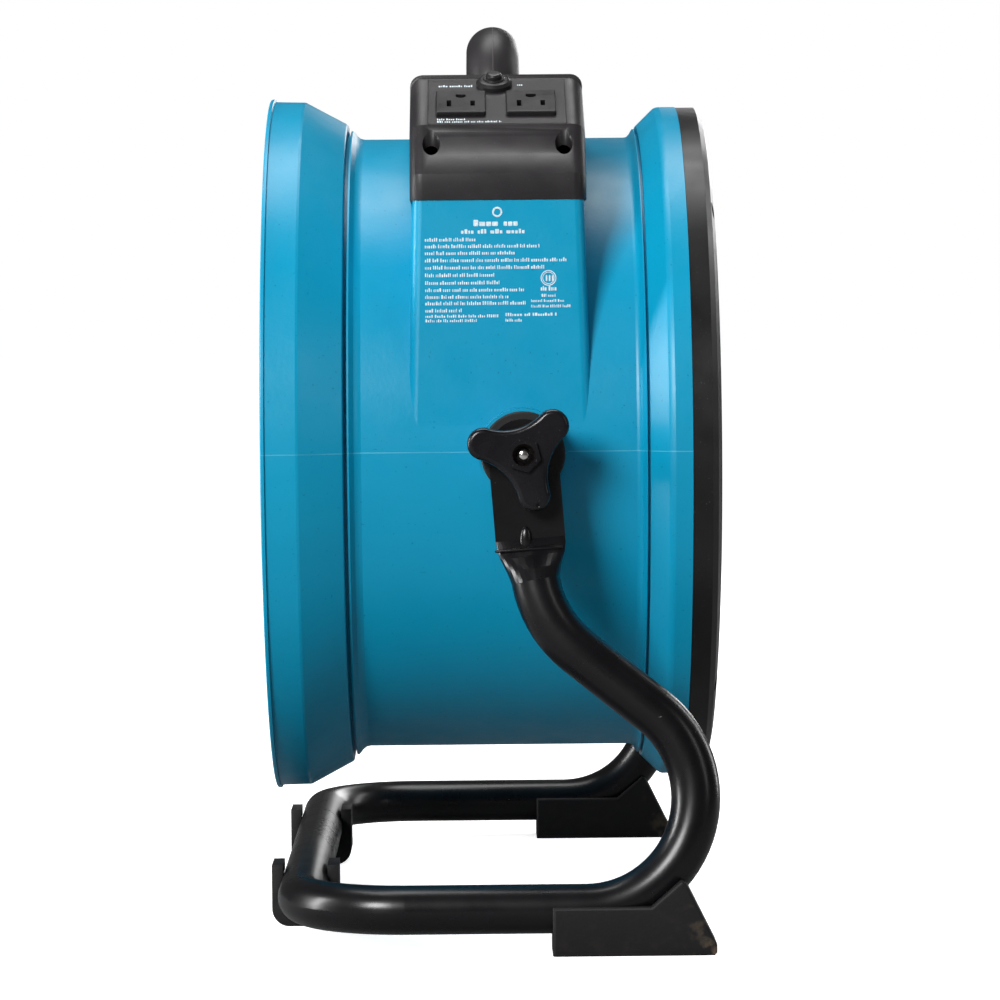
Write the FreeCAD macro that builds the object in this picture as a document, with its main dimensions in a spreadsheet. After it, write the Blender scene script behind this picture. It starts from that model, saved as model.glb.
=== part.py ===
"""Axial air mover on a tilting tube stand, as an assembly of separate pieces.

Frame: +Z up, +X towards the air intake, so the air leaves towards -X. The origin is on the floor,
under the middle of the object. "left" is the -Y side, with the power sockets, and "right" is the
+Y side, with the speed knob. Units are millimetres. Every driving size is a cell of the sheet
"Sizes"; each piece is an object of the document, and its Label is the name of its STEP file.
"""
import math
import os

import FreeCAD
import Part
import Sketcher

V = FreeCAD.Vector
DOC = FreeCAD.newDocument("AirMover")
SHEET = DOC.addObject("Spreadsheet::Sheet", "Sizes")
SIDES = {"left": -1, "right": 1}
PIECES = []

SIZES = {
    # where the tilt axis is, and the fan axis, which crosses it
    "pivot_x": 15.5,
    "axis_height": 255.5,
    # duct: stations along X and radii about the fan axis
    "front_rim_x": -122.0,
    "lip_end_x": -120.0,
    "band_end_x": -102.8,
    "cone_end_x": -79.0,
    "drum_front_x": -72.0,
    "drum_rear_x": 78.5,
    "flare_start_x": 83.2,
    "flare_end_x": 94.0,
    "rear_rim_x": 105.0,
    "lip_radius": 195.0,
    "band_radius": 193.6,
    "cone_radius": 180.4,
    "ridge_radius": 176.8,
    "groove_radius": 174.0,
    "drum_radius": 172.0,
    "bore_radius": 168.5,
    "flare_radius": 189.0,
    "flange_radius": 174.5,
    "front_flange_radius": 171.0,
    "wall": 3.5,
    "rear_flange_x": 97.5,
    "front_flange_x": -110.0,
    # saddle that carries the electrical cover
    "saddle_x": 4.0,
    "saddle_half": 49.0,
    "saddle_reach": 171.8,
    "saddle_top": 133.0,
    "saddle_draft": 1.6,
    "bay_floor": 40.0,
    "column_x": 35.2,
    "column_y": 156.0,
    "column_radius": 6.5,
    # electrical cover, heights above the fan axis
    "cover_half": 46.8,
    "cover_wall": 3.0,
    "skirt_y": 168.6,
    "skirt_top": 147.0,
    "shoulder_y": 152.5,
    "shoulder_top": 167.5,
    "panel_low_y": 150.0,
    "panel_low": 173.6,
    "panel_high_y": 95.0,
    "panel_high": 201.0,
    "pod_top": 203.0,
    "pod_inner_y": 58.0,
    "bridge_top": 180.0,
    # carrying handle
    "handle_radius": 14.5,
    "handle_height": 217.1,
    "handle_leg_y": 76.0,
    "handle_bend": 24.0,
    # guards
    "guard_radius": 188.6,
    "guard_end_x": 122.0,
    "guard_wire": 1.7,
    "front_guard_radius": 184.0,
    "front_guard_bulge": 4.0,
    "guard_bolt_circle": 180.0,
    "clip_circle": 175.6,
    # motor and impeller, stations along X
    "motor_rear_x": 76.0,
    "motor_split_x": 40.0,
    "motor_front_x": 8.0,
    "motor_radius": 62.0,
    "motor_wall": 3.0,
    "shaft_radius": 6.0,
    "shaft_front_x": -43.9,
    "impeller_front_x": -44.0,
    "impeller_rear_x": 4.0,
    "hub_radius": 58.0,
    "lug_radius": 161.0,
    "tip_radius": 163.0,
    # stand
    "tube_radius": 12.7,
    "tube_wall": 1.6,
    "rail_y": 240.0,
    "rail_height": 22.5,
    "crossbar_x": -102.8,
    "bend_radius": 57.0,
    "arm_bend_radius": 60.0,
    "arm_lean": 8.2,
    "arm_slope": 51.0,
    "arm_run": 50.0,
    "c_bend_x": 45.7,
    "plate_y": 206.3,
    "plate_thick": 4.0,
    "plate_half": 18.2,
    # feet
    "rear_foot_x": 28.0,
    "rear_foot_length": 83.0,
    "rear_foot_width": 32.0,
    "front_foot_y": 125.0,
    "front_foot_half": 15.0,
    "front_foot_height": 33.0,
    # tilt pivot, distances from the middle plane
    "boss_radius": 23.5,
    "boss_y": 196.0,
    "disc_radius": 22.0,
    "disc_y": 204.1,
    "stud_radius": 4.0,
    "knob_y": 210.2,
    "lobe_radius": 8.4,
    "lobe_reach": 21.5,
    "waist_radius": 14.0,
    "knob_thick": 13.0,
    # sockets, breaker and speed control on the two sloping panels
    "socket_pitch": 37.6,
    "socket_width": 26.8,
    "socket_height": 28.6,
    "socket_drop": 36.8,
    "breaker_drop": 10.6,
    "breaker_ring": 9.7,
    "speed_knob_radius": 17.0,
    "speed_drop": 31.0,
    "gland_height": 100.0,
    "gland_radius": 8.0,
}


def fill_sheet():
    for row, (alias, number) in enumerate(SIZES.items(), start=1):
        SHEET.set(f"A{row}", alias)
        SHEET.set(f"B{row}", str(number))
        SHEET.setAlias(f"B{row}", alias)
    DOC.recompute()


def size(alias):
    return float(SHEET.get(alias))


def value(expression):
    return float(SHEET.evalExpression(expression))


def bind(thing, **expressions):
    """Binds properties to expressions over the sheet; base_x, base_y and base_z are the placement."""
    for name, expression in expressions.items():
        path = ".Placement.Base." + name[-1] if name.startswith("base_") else name
        thing.setExpression(path, expression)
    return thing


def named(thing, label):
    """Gives a piece its node name and keeps it for export."""
    thing.Label = label
    PIECES.append(thing)
    return thing


def shaped(label, shape):
    """A piece whose shape is made with Part's functions."""
    thing = DOC.addObject("Part::Feature", label)
    thing.Shape = shape
    return named(thing, label)


# ---------------------------------------------------------------- bodies and sketches


def new_body(name):
    return DOC.addObject("PartDesign::Body", name)


def add_sketch(body, role, offset=None):
    """An empty sketch on one of the body's own origin planes, raised by an expression."""
    sketch = body.newObject("Sketcher::SketchObject", body.Name + "_sketch")
    plane = next(p for p in body.Origin.OriginFeatures if p.Role == role)
    sketch.AttachmentSupport = [(plane, "")]
    sketch.MapMode = "FlatFace"
    if offset:
        sketch.setExpression(".AttachmentOffset.Base.z", offset)
    return sketch


def pin_point(sketch, geometry, point, corner):
    """Holds a point of the sketch at a pair of expressions."""
    for kind, expression in zip(("DistanceX", "DistanceY"), corner):
        held = sketch.addConstraint(
            Sketcher.Constraint(kind, -1, 1, geometry, point, value(expression))
        )
        sketch.setExpression(f"Constraints[{held}]", expression)


def add_outline(sketch, corners):
    """A closed outline of straight lines through corners, each a pair of expressions."""
    first = sketch.GeometryCount
    spots = [V(value(a), value(b), 0) for a, b in corners]
    count = len(spots)
    for i, spot in enumerate(spots):
        sketch.addGeometry(Part.LineSegment(spot, spots[(i + 1) % count]), False)
    for i in range(count):
        following = first + (i + 1) % count
        sketch.addConstraint(
            Sketcher.Constraint("Coincident", first + i, 2, following, 1)
        )
    for i, corner in enumerate(corners):
        pin_point(sketch, first + i, 1, corner)


def add_rectangle(sketch, centre, half_x, half_y):
    cx, cy = centre
    add_outline(
        sketch,
        [
            (f"{cx} - ({half_x})", f"{cy} - ({half_y})"),
            (f"{cx} + ({half_x})", f"{cy} - ({half_y})"),
            (f"{cx} + ({half_x})", f"{cy} + ({half_y})"),
            (f"{cx} - ({half_x})", f"{cy} + ({half_y})"),
        ],
    )


def add_circle(sketch, centre, radius):
    spot = V(value(centre[0]), value(centre[1]), 0)
    ring = sketch.addGeometry(Part.Circle(spot, V(0, 0, 1), value(radius)), False)
    pin_point(sketch, ring, 3, centre)
    held = sketch.addConstraint(Sketcher.Constraint("Radius", ring, value(radius)))
    sketch.setExpression(f"Constraints[{held}]", radius)


def add_feature(body, kind, sketch, **settings):
    """A PartDesign feature on the sketch, checked to have changed the solid."""
    before = body.Shape.Volume if body.Tip else 0.0
    feature = body.newObject("PartDesign::" + kind, f"{body.Name}_{kind}")
    feature.Profile = sketch
    for name, setting in settings.items():
        if isinstance(setting, str) and name in ("Length", "TaperAngle"):
            feature.setExpression(name, setting)
        else:
            setattr(feature, name, setting)
    sketch.Visibility = False
    DOC.recompute()
    if abs(body.Shape.Volume - before) < 1e-3:
        raise RuntimeError(f"{feature.Name} changed nothing")
    return feature


def turn(body, corners, kind="Revolution"):
    """Turns an outline of (along X, radius) about the body's X axis: added, or cut with Groove."""
    sketch = add_sketch(body, "XZ_Plane")
    add_outline(sketch, corners)
    return add_feature(
        body, kind, sketch, ReferenceAxis=(sketch, ["H_Axis"]), Angle=360.0
    )


def round_edges(body, wanted, radius):
    """Fillets the edges of the body that wanted(edge) picks."""
    base = body.Tip
    picked = [
        f"Edge{i}" for i, edge in enumerate(base.Shape.Edges, start=1) if wanted(edge)
    ]
    if not picked:
        raise RuntimeError(f"{body.Name} has no such edge")
    fillet = body.newObject("PartDesign::Fillet", f"{body.Name}_Fillet")
    fillet.Base = (base, picked)
    fillet.Radius = radius
    base.Visibility = False
    DOC.recompute()
    return fillet


def is_ring(x, radius):
    """Picks a full circle about the X axis at a station x."""

    def test(edge):
        curve = edge.Curve
        return (
            isinstance(curve, Part.Circle)
            and abs(curve.Center.x - x) < 0.05
            and abs(curve.Radius - radius) < 0.05
        )

    return test


def turned_piece(label, corners, along=None, at=("0", "0", "0")):
    """A piece turned about its own X axis, which is then laid along a direction."""
    body = new_body(label)
    turn(body, corners)
    if along is not None:
        body.Placement.Rotation = FreeCAD.Rotation(V(1, 0, 0), along)
    bind(body, base_x=at[0], base_y=at[1], base_z=at[2])
    return named(body, label)


FAN_AXIS = ("0", "0", "Sizes.axis_height")
PIVOT = ("Sizes.pivot_x", "0", "Sizes.axis_height")


def spin_copies(shape, count, start=0.0):
    """Copies of a shape about the fan axis, which runs along X at the axis height."""
    centre = V(0, 0, size("axis_height"))
    copies = []
    for i in range(count):
        copy = shape.copy()
        copy.rotate(centre, V(1, 0, 0), start + 360.0 * i / count)
        copies.append(copy)
    return copies


def cylinder(radius, length, base, direction):
    return Part.makeCylinder(radius, length, base, direction)


# ---------------------------------------------------------------- duct housing


def duct_wall_corners():
    """Half section of the duct wall: bell, drum and rear flare, outside first, then inside."""
    s = "Sizes."
    outside = [
        (s + "front_rim_x", s + "lip_radius"),
        (s + "lip_end_x", s + "lip_radius"),
        (s + "lip_end_x + 0.4", s + "band_radius"),
        (s + "band_end_x", s + "band_radius - 0.4"),
        (s + "cone_end_x", s + "cone_radius"),
        (s + "cone_end_x + 0.3", s + "groove_radius"),
        (s + "cone_end_x + 1.8", s + "groove_radius"),
        (s + "cone_end_x + 2.0", s + "ridge_radius"),
        (s + "cone_end_x + 3.0", s + "ridge_radius"),
        (s + "drum_front_x", s + "drum_radius"),
        (s + "drum_rear_x", s + "drum_radius"),
        (s + "flare_start_x - 1.9", s + "ridge_radius"),
        (s + "flare_start_x - 1.5", s + "ridge_radius"),
        (s + "flare_start_x - 1.3", s + "groove_radius"),
        (s + "flare_start_x - 0.1", s + "groove_radius"),
        (s + "flare_start_x", s + "groove_radius + 4.4"),
        (s + "flare_end_x", s + "flare_radius"),
        (s + "rear_rim_x", s + "flare_radius"),
    ]
    inside = [
        (s + "rear_rim_x", s + "flare_radius - " + s + "wall"),
        (s + "rear_flange_x + " + s + "wall", s + "flare_radius - " + s + "wall"),
        (s + "rear_flange_x + " + s + "wall", s + "flange_radius"),
        (s + "rear_flange_x", s + "flange_radius"),
        (s + "rear_flange_x", s + "flare_radius - " + s + "wall"),
        (s + "flare_end_x + 0.8", s + "flare_radius - " + s + "wall"),
        (s + "flare_start_x + 0.4", s + "bore_radius + 2.4"),
        (s + "drum_rear_x", s + "bore_radius"),
        (s + "drum_front_x", s + "bore_radius"),
        (s + "cone_end_x - 0.6", s + "bore_radius + 1.6"),
        (s + "cone_end_x - 2.2", s + "cone_radius - 3.4"),
        (s + "band_end_x - 1.5", s + "band_radius - 0.4 - " + s + "wall"),
        (s + "front_flange_x + " + s + "wall", s + "band_radius - 0.4 - " + s + "wall"),
        (s + "front_flange_x + " + s + "wall", s + "front_flange_radius"),
        (s + "front_flange_x", s + "front_flange_radius"),
        (s + "front_flange_x", s + "band_radius - 0.2 - " + s + "wall"),
        (s + "lip_end_x + 1.0", s + "band_radius - " + s + "wall"),
        (s + "front_rim_x", s + "lip_radius - " + s + "wall"),
    ]
    return outside + inside


def add_saddle(body):
    """The two flat-sided shoulders under the electrical cover, hollow, with screw columns."""
    sketch = add_sketch(body, "XY_Plane")
    add_rectangle(
        sketch, ("Sizes.saddle_x", "0"), "Sizes.saddle_half", "Sizes.saddle_reach"
    )
    add_feature(
        body,
        "Pad",
        sketch,
        Length="Sizes.saddle_top",
        TaperAngle="-Sizes.saddle_draft",
    )
    round_edges(body, lambda e: e.BoundBox.ZLength > 100, 5.0)
    bays = add_sketch(body, "XY_Plane", "Sizes.saddle_top")
    add_rectangle(
        bays,
        ("Sizes.saddle_x", "0"),
        "Sizes.saddle_half - 8",
        "Sizes.saddle_reach - 7.4",
    )
    add_feature(
        body, "Pocket", bays, Length="Sizes.saddle_top - Sizes.bay_floor", Type=0
    )
    columns = add_sketch(body, "XY_Plane", "Sizes.bay_floor - 5")
    for side in (-1, 1):
        for end in (-1, 1):
            centre = (
                f"Sizes.saddle_x + {end} * Sizes.column_x",
                f"{side} * Sizes.column_y",
            )
            add_circle(columns, centre, "Sizes.column_radius")
    add_feature(
        body, "Pad", columns, Length="Sizes.saddle_top - Sizes.bay_floor + 5"
    )


def add_pivot_bosses(body):
    sketch = add_sketch(body, "XZ_Plane", "-Sizes.boss_y")
    add_circle(sketch, ("Sizes.pivot_x", "0"), "Sizes.boss_radius")
    add_feature(body, "Pad", sketch, Length="2 * Sizes.boss_y", Reversed=False)


def bore_duct(body):
    """Clears the air passage through the saddle and the bosses."""
    turn(
        body,
        [
            ("Sizes.drum_front_x", "0"),
            ("Sizes.drum_rear_x", "0"),
            ("Sizes.drum_rear_x", "Sizes.bore_radius"),
            ("Sizes.drum_front_x", "Sizes.bore_radius"),
        ],
        "Groove",
    )


def duct_holes():
    """What is drilled in the finished shell: studs, cover screws, flange screws and the lead."""
    axis = size("axis_height")
    holes = [
        cylinder(size("stud_radius") + 0.15, 400, V(size("pivot_x"), -200, axis), V(0, 1, 0))
    ]
    for side in SIDES.values():
        for end in (-1, 1):
            spot = V(
                size("saddle_x") + end * size("column_x"),
                side * size("column_y"),
                axis + size("saddle_top") - 22,
            )
            holes.append(cylinder(2.0, 30, spot, V(0, 0, 1)))
    flange_hole = cylinder(
        2.2, 10, V(size("rear_flange_x") - 3, 0, axis + size("guard_bolt_circle")), V(1, 0, 0)
    )
    holes += spin_copies(flange_hole, 4, 45)
    clip_spot = V(size("front_flange_x") - 3, 0, axis + size("clip_circle"))
    holes += spin_copies(cylinder(1.8, 10, clip_spot, V(1, 0, 0)), 6, 30)
    lug_spot = V(size("motor_rear_x") - 15, 0, axis + size("lug_radius"))
    holes += spin_copies(cylinder(1.8, 20, lug_spot, V(1, 0, 0)), 4, 45)
    holes.append(lead_hole(7.0))
    gland = V(size("saddle_x"), 155, axis + size("gland_height"))
    holes.append(cylinder(size("gland_radius"), 20, gland, V(0, 1, 0)))
    flat = V(gland.x, 169.1, gland.z)
    holes.append(cylinder(11.4, 8, flat, V(0, 1, 0)))
    return Part.makeCompound(holes)


def lead_direction():
    """Unit direction from the fan axis to where the motor lead crosses the drum."""
    angle = math.radians(50)
    return V(0, -math.cos(angle), math.sin(angle))


def lead_hole(radius):
    out = lead_direction()
    start = V(LEAD_X, 0, size("axis_height")) + out * (size("bore_radius") - 6)
    return cylinder(radius, 20, start, out)


LEAD_X = 30.0


def build_duct_housing():
    body = new_body("duct_shell")
    add_saddle(body)
    turn(body, duct_wall_corners())
    add_pivot_bosses(body)
    bore_duct(body)
    rings = [
        (is_ring(value("Sizes.drum_front_x"), size("drum_radius")), 5.0),
        (is_ring(value("Sizes.drum_rear_x"), size("drum_radius")), 4.0),
        (is_ring(size("flare_end_x"), size("flare_radius")), 5.0),
        (is_ring(size("band_end_x"), size("band_radius") - 0.4), 3.0),
        (is_ring(size("cone_end_x"), size("cone_radius")), 1.2),
        (is_ring(size("front_rim_x"), size("lip_radius")), 0.8),
    ]
    for wanted, radius in rings:
        round_edges(body, wanted, radius)
    bind(body, base_z="Sizes.axis_height")
    lug = Part.makeBox(15.9, 14, 15.5, V(size("motor_rear_x") - 16, -7, size("axis_height") + 154.5))
    lugs = DOC.addObject("Part::Feature", "duct_lugs")
    lugs.Shape = Part.makeCompound(spin_copies(lug, 4, 45))
    joined = DOC.addObject("Part::MultiFuse", "duct_joined")
    joined.Shapes = [body, lugs]
    drills = DOC.addObject("Part::Feature", "duct_drills")
    drills.Shape = duct_holes()
    housing = DOC.addObject("Part::Cut", "duct_housing")
    housing.Base = joined
    housing.Tool = drills
    named(housing, "duct_housing")


# ---------------------------------------------------------------- guards


def guard_rings(inner, outer, count):
    """Radii of evenly spaced rings from inner to outer."""
    return [inner + (outer - inner) * i / (count - 1) for i in range(count)]


def build_rear_guard():
    """Moulded intake guard: a deep black rim and a slightly domed face of thin ribs."""
    axis = size("axis_height")
    body = new_body("rear_guard_disc")
    s = "Sizes."
    turn(
        body,
        [
            (s + "guard_end_x - 4", "0"),
            (s + "guard_end_x", "0"),
            (s + "guard_end_x", "150"),
            (s + "guard_end_x - 0.2", "163"),
            (s + "guard_end_x - 1.4", "176"),
            (s + "guard_end_x - 3.4", s + "guard_radius - 3.4"),
            (s + "guard_end_x - 6.4", s + "guard_radius"),
            (s + "rear_rim_x + 0.2", s + "guard_radius"),
            (s + "rear_rim_x + 0.2", s + "flare_radius - 4.2"),
            (s + "rear_flange_x + 3.8", s + "flare_radius - 4.2"),
            (s + "rear_flange_x + 3.8", s + "flare_radius - 7"),
            (s + "guard_end_x - 5.5", s + "flare_radius - 7"),
            (s + "guard_end_x - 4", "160"),
        ],
    )
    bind(body, base_z="Sizes.axis_height")
    DOC.recompute()
    radii = guard_rings(30.0, 176.0, 14)
    back = V(size("guard_end_x") - 12, 0, axis)
    gaps = []
    for inner, outer in zip(radii, radii[1:]):
        outside = cylinder(outer - 1.3, 20, back, V(1, 0, 0))
        gaps.append(outside.cut(cylinder(inner + 1.3, 20, back, V(1, 0, 0))))
    spoke = Part.makeBox(40, 3.2, 180, V(back.x - 10, -1.6, axis))
    slots = Part.makeCompound(gaps).cut(spin_copies(spoke, 12, 15))
    grille = body.Shape.cut(slots)
    circle = axis + size("guard_bolt_circle")
    post = cylinder(5.2, 17, V(size("rear_flange_x") + 3.6, 0, circle), V(1, 0, 0))
    grille = grille.fuse(spin_copies(post, 4, 45))
    drill = cylinder(2.3, 40, V(size("rear_flange_x"), 0, circle), V(1, 0, 0))
    sink = cylinder(4.6, 20, V(size("guard_end_x") - 6, 0, circle), V(1, 0, 0))
    grille = grille.cut(spin_copies(drill.fuse(sink), 4, 45))
    shaped("rear_guard", grille.removeSplitter())


def dome_x(radius):
    """Station of the front guard's dome at a radius: part of a large sphere."""
    edge, bulge = size("front_guard_radius"), size("front_guard_bulge")
    sphere = (edge * edge + bulge * bulge) / (2 * bulge)
    rise = math.sqrt(sphere * sphere - radius * radius) - (sphere - bulge)
    return size("front_flange_x") - size("guard_wire") - 0.1 - rise


def build_front_guard():
    """Welded wire guard in the bell: rings behind curved radial wires, and a middle plate."""
    wire = size("guard_wire")
    axis = size("axis_height")
    edge = size("front_guard_radius")
    parts = []
    for radius in guard_rings(44.0, edge, 11):
        spot = V(dome_x(radius), 0, axis)
        parts.append(Part.makeTorus(radius, wire, spot, V(1, 0, 0)))
    step = 2 * wire - 0.7
    ends = [V(dome_x(r) - step, 0, axis + r) for r in (40.0, 110.0, edge)]
    arc = Part.Wire([Part.Arc(*ends).toShape()])
    section = Part.Wire([Part.Circle(ends[0], V(0, 0, 1), wire).toShape()])
    spoke = arc.makePipeShell([section], True, False)
    parts += spin_copies(spoke, 8, 22.5)
    parts.append(cylinder(45.0, 2.0, V(dome_x(44.0) - 1.0, 0, axis), V(1, 0, 0)))
    shaped("front_guard", parts[0].fuse(parts[1:]))
    badge = cylinder(30, 1.8, V(dome_x(44.0) - 2.85, 0, axis), V(1, 0, 0))
    rims = [e for e in badge.Edges if e.Vertexes[0].Point.x < dome_x(44.0) - 2.8]
    shaped("guard_badge", badge.makeFillet(0.7, rims[:1]))


def pan_screw(head_radius, head_height, shank_radius, length, spot, along):
    """A pan-head screw: the head's underside is at spot and the shank runs along a direction."""
    head = cylinder(head_radius, head_height, spot, along * -1)
    rings = [e for e in head.Edges if isinstance(e.Curve, Part.Circle)]
    crown = min(rings, key=lambda e: (e.Curve.Center - spot).dot(along))
    head = head.makeFillet(head_height * 0.45, [crown])
    shank = cylinder(shank_radius, length, spot, along)
    drive = cylinder(head_radius * 0.4, head_height * 0.5, spot - along * head_height, along)
    return head.fuse(shank).cut(drive)


def build_guard_fasteners():
    axis = size("axis_height")
    seat = V(size("guard_end_x") - 5.95, 0, axis + size("guard_bolt_circle"))
    screw = pan_screw(4.2, 2.6, 2.0, 20.0, seat, V(-1, 0, 0))
    shaped("rear_guard_screws", Part.makeCompound(spin_copies(screw, 4, 45)))
    edge = size("front_guard_radius")
    face = size("front_flange_x") - 0.05
    outline = [
        (face, -12.0),
        (face, -3.6),
        (face - 3.55, -2.2),
        (face - 3.55, 3.5),
        (face - 4.95, 3.5),
        (face - 4.95, -3.2),
        (face - 1.4, -4.6),
        (face - 1.4, -12.0),
    ]
    spots = [V(x, -6, axis + edge + r) for x, r in outline]
    clip = Part.Face(Part.makePolygon(spots + spots[:1])).extrude(V(0, 12, 0))
    spot = V(face - 1.45, 0, axis + size("clip_circle"))
    clip = clip.cut(cylinder(2.1, 6, spot - V(2, 0, 0), V(1, 0, 0)))
    shaped("front_guard_clips", Part.makeCompound(spin_copies(clip, 6, 30)))
    screw = pan_screw(3.5, 2.2, 1.7, 7.0, spot, V(1, 0, 0))
    shaped("front_guard_screws", Part.makeCompound(spin_copies(screw, 6, 30)))


# ---------------------------------------------------------------- motor and impeller


def build_motor():
    s = "Sizes."
    front, split, rear = s + "motor_front_x", s + "motor_split_x", s + "motor_rear_x"
    radius, wall = s + "motor_radius", s + "motor_wall"
    bore = f"{radius} - {wall}"
    turned_piece(
        "motor_shell_front",
        [
            (front, "7"),
            (front, f"{radius} - 3"),
            (f"{front} + 3", radius),
            (split, radius),
            (split, bore),
            (f"{front} + {wall}", bore),
            (f"{front} + {wall}", "17"),
            (f"{front} + 11", "17"),
            (f"{front} + 11", "14.05"),
            (f"{front} + 3.1", "14.05"),
            (f"{front} + 3.1", "7"),
        ],
        at=FAN_AXIS,
    )
    shell = new_body("motor_shell")
    turn(
        shell,
        [
            (f"{split} + 0.1", bore),
            (f"{split} + 0.1", radius),
            (f"{rear} - 3", radius),
            (rear, f"{radius} - 3"),
            (rear, "0"),
            (f"{rear} - {wall}", "0"),
            (f"{rear} - {wall}", "14.05"),
            (f"{rear} - 11", "14.05"),
            (f"{rear} - 11", "17"),
            (f"{rear} - {wall}", "17"),
            (f"{rear} - {wall}", bore),
        ],
    )
    bind(shell, base_z="Sizes.axis_height")
    hole = V(size("motor_rear_x") - 6, 0, size("axis_height") + 45)
    drills = DOC.addObject("Part::Feature", "motor_drills")
    drills.Shape = Part.makeCompound(spin_copies(cylinder(2.5, 9, hole, V(1, 0, 0)), 4, 45))
    drilled = DOC.addObject("Part::Cut", "motor_shell_rear")
    drilled.Base = shell
    drilled.Tool = drills
    named(drilled, "motor_shell_rear")
    for name, start in (("front", f"{front} + 3.1"), ("rear", f"{rear} - 11")):
        turned_piece(
            "bearing_" + name,
            [
                (start, s + "shaft_radius + 0.05"),
                (start, "14"),
                (f"{start} + 7.8", "14"),
                (f"{start} + 7.8", s + "shaft_radius + 0.05"),
            ],
            at=FAN_AXIS,
        )
    turned_piece(
        "stator",
        [
            ("26", "34.5"),
            ("26", f"{bore} - 12"),
            ("31", f"{bore} - 0.1"),
            ("56", f"{bore} - 0.1"),
            ("61", f"{bore} - 12"),
            ("61", "34.5"),
        ],
        at=FAN_AXIS,
    )
    turned_piece(
        "rotor",
        [
            ("28", s + "shaft_radius"),
            ("28", "33.8"),
            ("59", "33.8"),
            ("59", s + "shaft_radius"),
        ],
        at=FAN_AXIS,
    )
    turned_piece(
        "shaft",
        [
            (s + "shaft_front_x - 12", "0"),
            (s + "shaft_front_x - 12", "4.5"),
            (s + "shaft_front_x - 11", "5.0"),
            (s + "shaft_front_x", "5.0"),
            (s + "shaft_front_x", s + "shaft_radius"),
            (f"{rear} - {wall} - 0.2", s + "shaft_radius"),
            (f"{rear} - {wall} - 0.2", "0"),
        ],
        at=FAN_AXIS,
    )


def build_motor_bracket():
    axis = size("axis_height")
    rear = size("motor_rear_x")
    along = V(1, 0, 0)
    lug = size("lug_radius")
    plate = cylinder(66, 2.5, V(rear + 0.05, 0, axis), along)
    arm = Part.makeBox(2.5, 20, lug + 6, V(rear + 0.05, -10, axis))
    rib = Part.makeBox(9, 2.0, lug - 68, V(rear + 0.05, -10, axis + 52))
    rib2 = Part.makeBox(9, 2.0, lug - 68, V(rear + 0.05, 8, axis + 52))
    arms = spin_copies(arm.fuse([rib, rib2]), 4, 45)
    vents = spin_copies(cylinder(7, 6, V(rear - 1, 0, axis + 34), along), 4, 0)
    bolts = spin_copies(cylinder(2.7, 6, V(rear - 1, 0, axis + 45), along), 4, 45)
    screws = spin_copies(cylinder(2.3, 6, V(rear - 1, 0, axis + lug), along), 4, 45)
    bracket = plate.fuse(arms).cut(vents + bolts + screws)
    shaped("motor_bracket", bracket.removeSplitter())
    seat = rear + 2.6
    bolt = pan_screw(4.6, 3.2, 2.4, 9.0, V(seat, 0, axis + 45), V(-1, 0, 0))
    shaped("motor_bolts", Part.makeCompound(spin_copies(bolt, 4, 45)))
    screw = pan_screw(3.8, 2.4, 1.7, 14.0, V(seat, 0, axis + lug), V(-1, 0, 0))
    shaped("bracket_screws", Part.makeCompound(spin_copies(screw, 4, 45)))


def blade_section(radius, chord, pitch, camber, axis):
    """A cambered section, square to the blade's length, at a radius above the fan axis."""
    middle = (size("impeller_front_x") + size("impeller_rear_x")) / 2
    lean = math.radians(pitch)
    half = chord / 2
    ahead = V(-math.sin(lean), math.cos(lean), 0)
    off = V(math.cos(lean), math.sin(lean), 0)
    centre = V(middle, 0, axis + radius)
    nose = centre + ahead * half
    tail = centre - ahead * half
    outer = Part.Arc(nose, centre + off * (camber + 1.6), tail).toShape()
    inner = Part.Arc(tail, centre + off * (camber - 1.6), nose).toShape()
    return Part.Wire([outer, inner])


def build_impeller():
    axis = size("axis_height")
    s = "Sizes."
    hub = new_body("impeller_hub")
    turn(
        hub,
        [
            (s + "impeller_front_x", s + "shaft_radius + 0.05"),
            (s + "impeller_front_x", "20"),
            (s + "impeller_front_x + 2", s + "hub_radius - 12"),
            (s + "impeller_front_x + 7", s + "hub_radius - 3"),
            (s + "impeller_front_x + 14", s + "hub_radius"),
            (s + "impeller_rear_x", s + "hub_radius"),
            (s + "impeller_rear_x", s + "hub_radius - 3.5"),
            (s + "impeller_front_x + 14", s + "hub_radius - 3.5"),
            (s + "impeller_front_x + 9", s + "hub_radius - 9"),
            (s + "impeller_front_x + 6", s + "hub_radius - 20"),
            (s + "impeller_front_x + 6", "13"),
            (s + "impeller_front_x + 34", "12"),
            (s + "impeller_front_x + 34", s + "shaft_radius + 0.05"),
        ],
    )
    bind(hub, base_z="Sizes.axis_height")
    DOC.recompute()
    root = size("hub_radius") - 1.8
    tip = size("tip_radius")
    sections = [
        blade_section(root, 54, 46, 5.0, axis),
        blade_section(root + 35, 60, 38, 5.5, axis),
        blade_section(root + 70, 66, 31, 5.5, axis),
        blade_section(tip, 70, 26, 5.0, axis),
    ]
    blade = Part.makeLoft(sections, True, False)
    blades = spin_copies(blade, 5, 0)
    shaped("impeller", hub.Shape.fuse(blades))
    nut_x = size("shaft_front_x") - 0.2
    hexagon = [
        V(nut_x - 6, 9 * math.cos(math.radians(a)), axis + 9 * math.sin(math.radians(a)))
        for a in range(0, 361, 60)
    ]
    nut = Part.Face(Part.makePolygon(hexagon)).extrude(V(6, 0, 0))
    bored = nut.cut(cylinder(5.05, 20, V(nut_x - 10, 0, axis), V(1, 0, 0)))
    shaped("impeller_nut", bored)


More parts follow.
